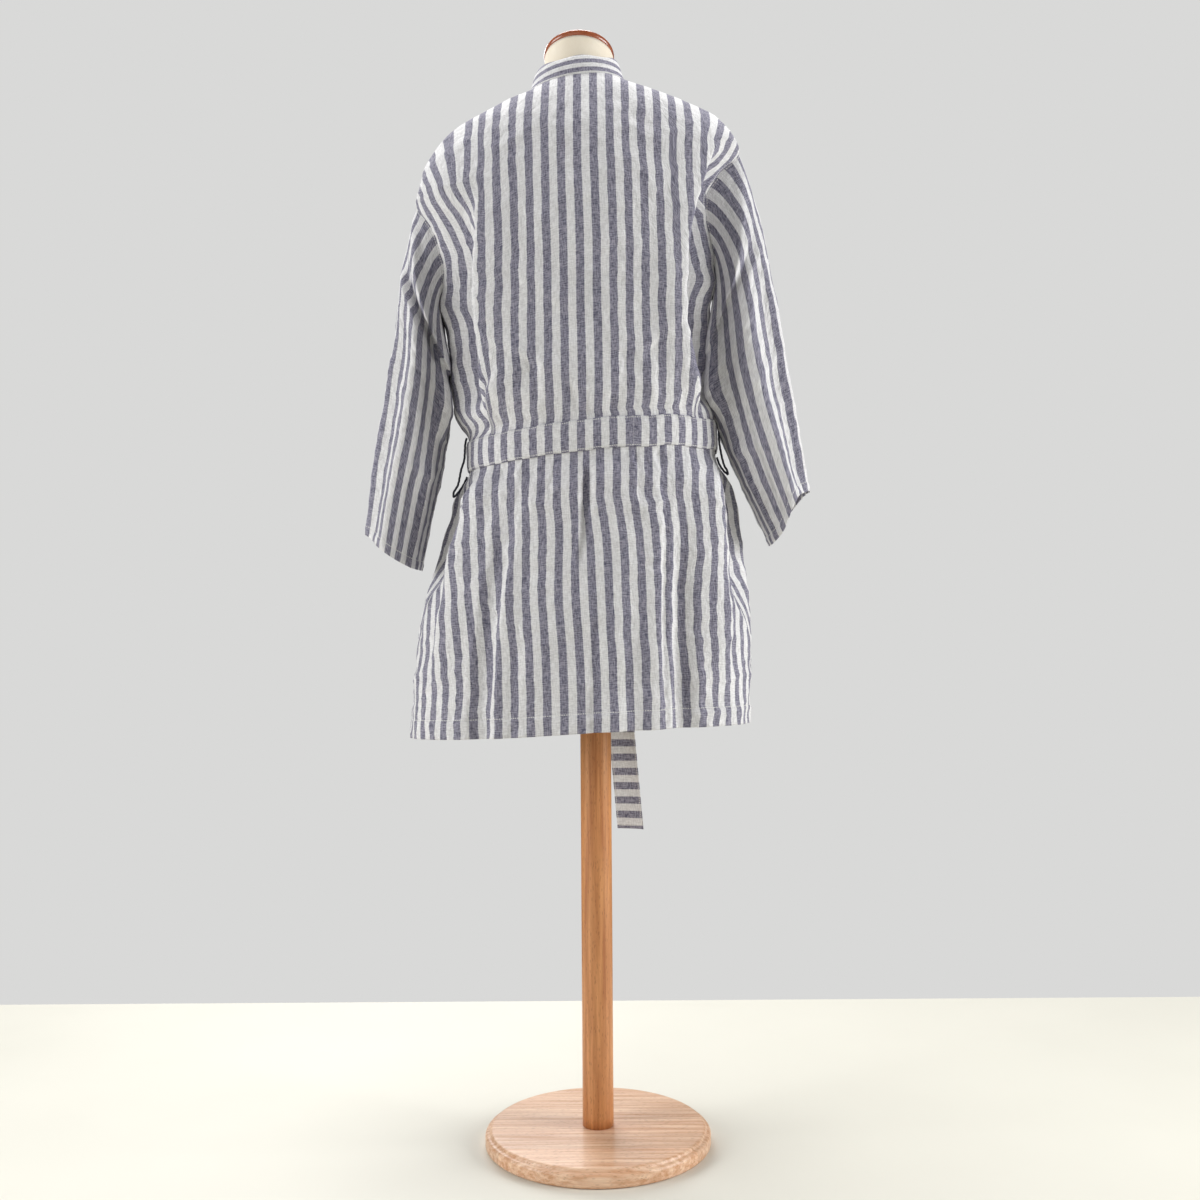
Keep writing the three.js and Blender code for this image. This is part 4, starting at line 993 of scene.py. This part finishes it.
def linear(code):
    """An sRGB hex colour as linear light."""
    c = np.array([int(code[k:k + 2], 16) / 255 for k in (1, 3, 5)])
    return (*np.where(c <= 0.04045, c / 12.92, ((c + 0.055) / 1.055) ** 2.4), 1.0)


def add_node(tree, kind, inputs=None, **settings):
    """Adds a node with its settings, its constants and its links. A node given as an input is linked by
    its first output in use."""
    node = tree.nodes.new(kind)
    for name, value in settings.items():
        setattr(node, name, value)
    for key, value in (inputs or {}).items():
        if isinstance(value, bpy.types.Node):
            value = next(output for output in value.outputs if output.enabled)
        if isinstance(value, bpy.types.NodeSocket):
            tree.links.new(value, node.inputs[key])
        else:
            node.inputs[key].default_value = value
    return node


def new_material(name):
    """An empty material: its node tree and its surface shader, joined to the output."""
    material = bpy.data.materials.new(name)
    material.use_nodes = True
    tree = material.node_tree
    tree.nodes.clear()
    shader = add_node(tree, "ShaderNodeBsdfPrincipled")
    add_node(tree, "ShaderNodeOutputMaterial", {"Surface": shader.outputs["BSDF"]})
    return material, tree, shader


def striped_linen():
    """Washed linen, plain woven: off-white and blue-grey warp stripes over an off-white weft. The weft shows
    through the blue as a heathered grain, slubs run both ways, and the dry yarn scatters light softly."""
    material, tree, shader = new_material("striped_washed_linen")
    uv = add_node(tree, "ShaderNodeUVMap", uv_map="cloth")
    # Yarns are 0.6 mm apart; drawn at 1.3 to 1.6 mm so that they show from across a room. Each pattern has
    # its size across and along the stripes, in metres, its detail and its roughness.
    seen = {}
    for name, wide, long, detail, rough in (
            ("warp", 0.0014, 0.011, 2.0, 0.6), ("weft", 0.008, 0.0015, 2.0, 0.6),
            ("slub", 0.03, 0.0022, 1.0, 0.5), ("wash", 0.05, 0.07, 3.0, 0.55)):
        place = add_node(tree, MAPPING, {0: uv, 3: (1 / wide, 1 / long, 1)})
        seen[name] = add_node(tree, NOISE, {"Vector": place, "Scale": 1.0, "Detail": detail,
                                            "Roughness": rough})
    grain = add_node(tree, MATH, {0: seen["warp"], 1: seen["weft"]}, operation="ADD")
    heather = add_node(tree, RANGE, {0: grain, 1: 0.80, 2: 1.20})
    # How far off the middle of its blue stripe a point lies, in shares of the stripes' distance.
    share = add_node(tree, "ShaderNodeSeparateXYZ", {0: uv}).outputs["X"]
    for operation, number in (("DIVIDE", STRIPE * MM), ("ADD", 0.5), ("FRACT", 0), ("ADD", -0.5),
                              ("ABSOLUTE", 0)):
        share = add_node(tree, MATH, {0: share, 1: number}, operation=operation)
    ragged = add_node(tree, MATH, {0: seen["weft"], 1: 0.035, 2: share}, operation="MULTIPLY_ADD")
    blue = add_node(tree, RANGE, {0: ragged, 1: 0.252, 2: 0.282, 3: 1.0, 4: 0.0},
                    interpolation_type="SMOOTHSTEP")
    yarns = [add_node(tree, inputs={0: heather, 6: linear(dark), 7: linear(light)}, **COLOURS)
             for dark, light in (("#5b5a6c", "#a4a1ad"), ("#d3d1d0", "#eeedec"))]
    slubs = add_node(tree, RANGE, {0: seen["slub"], 1: 0.60, 2: 0.74})
    slubs = add_node(tree, MATH, {0: slubs, 1: 0.35}, operation="MULTIPLY")
    yarns[0] = add_node(tree, inputs={0: slubs, 6: yarns[0], 7: linear("#bcbac4")}, **COLOURS)
    woven = add_node(tree, inputs={0: blue, 6: yarns[1], 7: yarns[0]}, **COLOURS)
    washed = add_node(tree, RANGE, {0: seen["wash"], 1: 0.3, 2: 0.7, 3: 0.94, 4: 1.04})
    woven = add_node(tree, inputs={0: 1.0, 6: woven, 7: washed}, **SHADES)
    # White sewing thread, 3 mm stitches, on the lines that the second map gives.
    sewn = add_node(tree, "ShaderNodeUVMap", uv_map="stitch")
    dash, off = add_node(tree, "ShaderNodeSeparateXYZ", {0: sewn}).outputs[:2]
    off = add_node(tree, MATH, {0: off}, operation="ABSOLUTE")
    on_line = add_node(tree, RANGE, {0: off, 1: 0.0004, 2: 0.0009, 3: 1.0, 4: 0.0})
    for operation, number in (("MULTIPLY", 1 / 0.0031), ("FRACT", 0), ("LESS_THAN", 0.68),
                              ("MULTIPLY", on_line), ("MULTIPLY", 0.7)):
        dash = add_node(tree, MATH, {0: dash, 1: number}, operation=operation)
    colour = add_node(tree, inputs={0: dash, 6: woven, 7: linear("#eceae5")}, **COLOURS)
    tree.links.new(colour.outputs[2], shader.inputs["Base Color"])
    place = add_node(tree, MAPPING, {0: uv, 2: (0, 0, 0.5), 3: (1 / 0.009, 1 / 0.016, 1)})
    crinkle = add_node(tree, NOISE, {"Vector": place, "Scale": 1.0, "Detail": 3.0, "Roughness": 0.55,
                                     "Distortion": 0.6})
    deep = add_node(tree, BUMP, {"Strength": 0.8, "Distance": 0.0030, "Height": crinkle})
    pulled = add_node(tree, BUMP, {"Strength": 0.5, "Distance": 0.0009, "Height": on_line, "Normal": deep},
                      invert=True)
    fine = add_node(tree, BUMP, {"Strength": 0.35, "Distance": 0.0004, "Height": grain, "Normal": pulled})
    tree.links.new(fine.outputs[0], shader.inputs["Normal"])
    shader.inputs["Roughness"].default_value = 0.92
    shader.inputs["Sheen Weight"].default_value = 0.12
    shader.inputs["Sheen Roughness"].default_value = 0.5
    shader.inputs["Specular IOR Level"].default_value = 0.25
    return material


def loop_cord():
    """Cotton cord for the belt loops, dyed to match the dark yarn: matt, with a plaited relief."""
    material, tree, shader = new_material("plaited_cotton_cord")
    at = add_node(tree, "ShaderNodeTexCoord").outputs["Object"]
    grain = add_node(tree, NOISE, {"Vector": at, "Scale": 900.0, "Detail": 2.0})
    colour = add_node(tree, inputs={0: grain, 6: linear("#22242e"), 7: linear("#545562")}, **COLOURS)
    tree.links.new(colour.outputs[2], shader.inputs["Base Color"])
    bump = add_node(tree, BUMP, {"Strength": 0.4, "Distance": 0.0004, "Height": grain})
    tree.links.new(bump.outputs[0], shader.inputs["Normal"])
    shader.inputs["Roughness"].default_value = 0.9
    return material


def cream_jersey():
    """Cotton jersey stretched over the form: cream, with the fine ribs of the knit and a soft fuzz."""
    material, tree, shader = new_material("cream_cotton_jersey")
    at = add_node(tree, "ShaderNodeTexCoord").outputs["Object"]
    # Knit wales are 1 mm apart, drawn at 1.6 mm.
    place = add_node(tree, MAPPING, {0: at, 3: (1 / 0.0016, 1 / 0.0016, 1 / 0.006)})
    wales = add_node(tree, NOISE, {"Vector": place, "Scale": 1.0, "Detail": 2.0})
    cloud = add_node(tree, NOISE, {"Vector": at, "Scale": 22.0, "Detail": 3.0})
    tone = add_node(tree, MATH, {0: wales, 1: 0.35, 2: cloud}, operation="MULTIPLY_ADD")
    tone = add_node(tree, RANGE, {0: tone, 1: 0.4, 2: 0.95})
    colour = add_node(tree, inputs={0: tone, 6: linear("#f2e4cb"), 7: linear("#faf0dc")}, **COLOURS)
    tree.links.new(colour.outputs[2], shader.inputs["Base Color"])
    bump = add_node(tree, BUMP, {"Strength": 0.3, "Distance": 0.0004, "Height": wales})
    tree.links.new(bump.outputs[0], shader.inputs["Normal"])
    shader.inputs["Roughness"].default_value = 0.88
    shader.inputs["Sheen Weight"].default_value = 0.1
    shader.inputs["Sheen Roughness"].default_value = 0.6
    return material


def wood(name, along, colours, boards, roughness, coat):
    """Wood with its grain along one axis: long streaks from noise stretched along it, the short dark flecks
    of beech, and where it is laminated, boards of their own tone."""
    material, tree, shader = new_material(name)
    where = add_node(tree, "ShaderNodeTexCoord").outputs["Object"]
    if boards:
        board = add_node(tree, "ShaderNodeSeparateXYZ", {0: where}).outputs["Y"]
        board = add_node(tree, MATH, {0: board, 1: 1 / boards, 2: 0.37}, operation="MULTIPLY_ADD")
        number = add_node(tree, MATH, {0: board}, operation="FLOOR")
        tone = add_node(tree, "ShaderNodeTexWhiteNoise", {"W": number}, noise_dimensions="1D")
        shift = add_node(tree, "ShaderNodeCombineXYZ", {0: number, 1: number, 2: number})
        where = add_node(tree, "ShaderNodeVectorMath", {0: where, 1: shift}, operation="ADD")
    # Each pattern's size across and along the grain, in metres.
    seen = {}
    for pattern, kind, fine, long, finish in (
            ("streak", NOISE, 0.006, 0.16, {"Detail": 4.0, "Roughness": 0.6}),
            ("pore", NOISE, 0.0011, 0.012, {"Detail": 2.0, "Roughness": 0.6}),
            ("fleck", "ShaderNodeTexVoronoi", 0.0028, 0.011, {})):
        scale = tuple(1 / (long if k == along else fine) for k in range(3))
        place = add_node(tree, MAPPING, {0: where, 3: scale})
        seen[pattern] = add_node(tree, kind, {"Vector": place, "Scale": 1.0, **finish})
    streaks = add_node(tree, RANGE, {0: seen["streak"], 1: 0.3, 2: 0.7})
    pale, deep, darkest = (linear(colour) for colour in (colours[1], colours[0], colours[2]))
    base = add_node(tree, inputs={0: streaks, 6: deep, 7: pale}, **COLOURS)
    if boards:
        level = add_node(tree, RANGE, {0: tone, 3: 0.90, 4: 1.05})
        base = add_node(tree, inputs={0: 1.0, 6: base, 7: level}, **SHADES)
    dark = add_node(tree, RANGE, {0: seen["fleck"], 1: 0.16, 2: 0.3, 3: 1.0, 4: 0.0})
    dark = add_node(tree, MATH, {0: dark, 1: 0.35}, operation="MULTIPLY")
    base = add_node(tree, inputs={0: dark, 6: base, 7: darkest}, **COLOURS)
    worn, rough = (add_node(tree, RANGE, {0: seen["pore"], 1: 0.3, 2: 0.7, 3: low, 4: high})
                   for low, high in ((0.93, 1.05), (roughness + 0.06, roughness - 0.05)))
    base = add_node(tree, inputs={0: 1.0, 6: base, 7: worn}, **SHADES)
    tree.links.new(base.outputs[2], shader.inputs["Base Color"])
    tree.links.new(rough.outputs[0], shader.inputs["Roughness"])
    bump = add_node(tree, BUMP, {"Strength": 0.25, "Distance": 0.0003, "Height": seen["pore"]})
    tree.links.new(bump.outputs[0], shader.inputs["Normal"])
    shader.inputs["Coat Weight"].default_value = coat
    shader.inputs["Coat Roughness"].default_value = 0.12
    return material


def studio_floor():
    """A pale painted studio floor: nearly even, with faint scuffs."""
    material, tree, shader = new_material("painted_floor")
    at = add_node(tree, "ShaderNodeTexCoord").outputs["Object"]
    scuff = add_node(tree, NOISE, {"Vector": at, "Scale": 3.0, "Detail": 6.0})
    colour = add_node(tree, inputs={0: scuff, 6: linear("#dddacd"), 7: linear("#e5e2d5")}, **COLOURS)
    tree.links.new(colour.outputs[2], shader.inputs["Base Color"])
    shader.inputs["Roughness"].default_value = 0.6
    return material


# ---- building ----

def settle(piece, material, slot, *nodes):
    """Gives a finished piece its material and its body, and hides the solids that it stands for. Its slot is
    not used.
    """
    piece.data.materials.append(material)
    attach(piece, "root")
    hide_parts(*nodes)
    return piece


def build_robe():
    """The robe's pieces, its sash and its belt loops."""
    linen = striped_linen()
    cord = loop_cord()
    back = settle(back_panel(), linen, "linen", "back")
    fronts = {side: settle(front_panel(side), linen, "linen", "front_" + side) for side in ("left", "right")}
    band = settle(neckband(), linen, "linen", "neckband")
    sleeves = {side: settle(sleeve(side), linen, "linen", "sleeve_" + side) for side in ("left", "right")}
    wrap = settle(sash_wrap(), linen, "linen", "sash_wrap")
    knot = settle(sash_knot(), linen, "linen", "sash_knot")
    tails = {name: settle(sash_tail(name), linen, "linen", "sash_tail_" + name) for name in ("long", "short")}
    for side in ("left", "right"):
        settle(belt_loop(side), cord, "linen", "belt_loop_" + side)


def build_stand():
    """The form, its cap, and the turned pole and base."""
    settle(form_body(), cream_jersey(), "form_cloth", "form_body")
    centre = FORM["lean"] * (FORM["top"] - FORM["bottom"])
    cap = rounded([[0.5, 0.3], [49.5, 0.3], [51, 1.8], [51, 6.3], [49, 8.8], [44, 10.3], [0.5, 10.6]], 2.5)
    red = wood("varnished_red_wood", 0, ("#8f4526", "#b5653c", "#6b2f18"), 0, 0.3, 0.8)
    settle(lathe("form_cap_turned", cap, (centre, 0, FORM["top"]), FORM["tip"]), red, "cap_wood", "form_cap")
    pole = [[0.5, 24.3], [22, 24.3], *[[22, z] for z in np.linspace(40, 820, 40)], [22, 829.7], [0.5, 829.7]]
    beech = wood("oiled_beech_pole", 2, ("#ae6a38", "#dc9c62", "#7d4423"), 0, 0.45, 0.15)
    settle(lathe("stand_pole_turned", pole), beech, "beech", "stand_pole")
    base = rounded([[0.5, 0.0], [157.5, 0.0], [160, 2.4], [160, 15.8], [157.8, 18.6], [154.6, 19.2],
                    [153.4, 20.9], [152.2, 23.0], [149.6, 24.0], [0.5, 24.0]], 1.6)
    laminated = wood("oiled_beech_boards", 0, ("#cf9468", "#fad8b8", "#9a643c"), 0.052, 0.42, 0.1)
    settle(lathe("stand_base_turned", base, around=192), laminated, "beech", "stand_base")


# The soft lights: name, place, what it points at, size, power and tint.
SOFT_BOXES = [
    ("box_left", (2.8, 1.0, 1.5), (0, 0, 1.0), 1.7, 62, "#fbfcff"),
    ("box_right", (-2.9, 0.65, 1.5), (0, 0, 1.0), 1.7, 84, "#fbfcff"),
    ("box_above", (0.1, -0.2, 3.1), (0, 0, 1.3), 1.3, 46, "#ffffff"),
    ("box_behind_camera", (0.9, 3.4, 1.5), (0, 0, 0.9), 2.2, 10, "#ffffff"),
    ("box_front", (0.8, -2.6, 2.2), (0, 0, 1.0), 2.0, 60, "#ffffff"),
]
CAMERA = {"place": (-0.0075, 1.845, 0.723), "tilt": 1.5, "roll": -0.38, "lens": 38.46, "sensor": 36}


def build_studio():
    """The floor, the pale surroundings, the soft lights and the camera."""
    corners = np.array([[-3200, -700, 0], [3200, -700, 0], [3200, 3000, 0], [-3200, 3000, 0]], float)
    floor = new_piece("studio_floor", corners, np.arange(4), np.array([4]), {})
    floor.data.materials.append(studio_floor())
    world = bpy.data.worlds.new("pale_studio")
    bpy.context.scene.world = world
    world.use_nodes = True
    tree = world.node_tree
    tree.nodes.clear()
    lit, seen = (add_node(tree, "ShaderNodeBackground", {"Color": linear(code), "Strength": power}).outputs[0]
                 for code, power in (("#d3d6dc", 0.15), ("#d9d9d8", 1.0)))
    ray = add_node(tree, "ShaderNodeLightPath").outputs["Is Camera Ray"]
    either = add_node(tree, "ShaderNodeMixShader", {0: ray, 1: lit, 2: seen}).outputs[0]
    add_node(tree, "ShaderNodeOutputWorld", {"Surface": either})
    for name, place, target, size, power, tint in SOFT_BOXES:
        light = bpy.data.lights.new(name, "AREA")
        light.size, light.energy, light.color = size, power, linear(tint)[:3]
        lamp = bpy.data.objects.new(name, light)
        lamp.location = place
        lamp.rotation_euler = (Vector(target) - Vector(place)).to_track_quat("-Z", "Y").to_euler()
        bpy.context.scene.collection.objects.link(lamp)
    tilt, roll = np.radians(CAMERA["tilt"]), np.radians(CAMERA["roll"])
    forward = Vector((0, -np.cos(tilt), np.sin(tilt)))
    right = Vector((-1, 0, 0))
    right = right * np.cos(roll) + right.cross(forward) * np.sin(roll)
    up = right.cross(forward)
    camera = bpy.data.cameras.new("camera")
    camera.lens, camera.sensor_width = CAMERA["lens"], CAMERA["sensor"]
    eye = bpy.data.objects.new("camera", camera)
    turn = Matrix((right, up, -forward)).transposed().to_4x4()
    eye.matrix_world = Matrix.Translation(CAMERA["place"]) @ turn
    bpy.context.scene.collection.objects.link(eye)
    bpy.context.scene.camera = eye
    bpy.context.scene.view_settings.view_transform = "Standard"


build_studio()
build_robe()
build_stand()
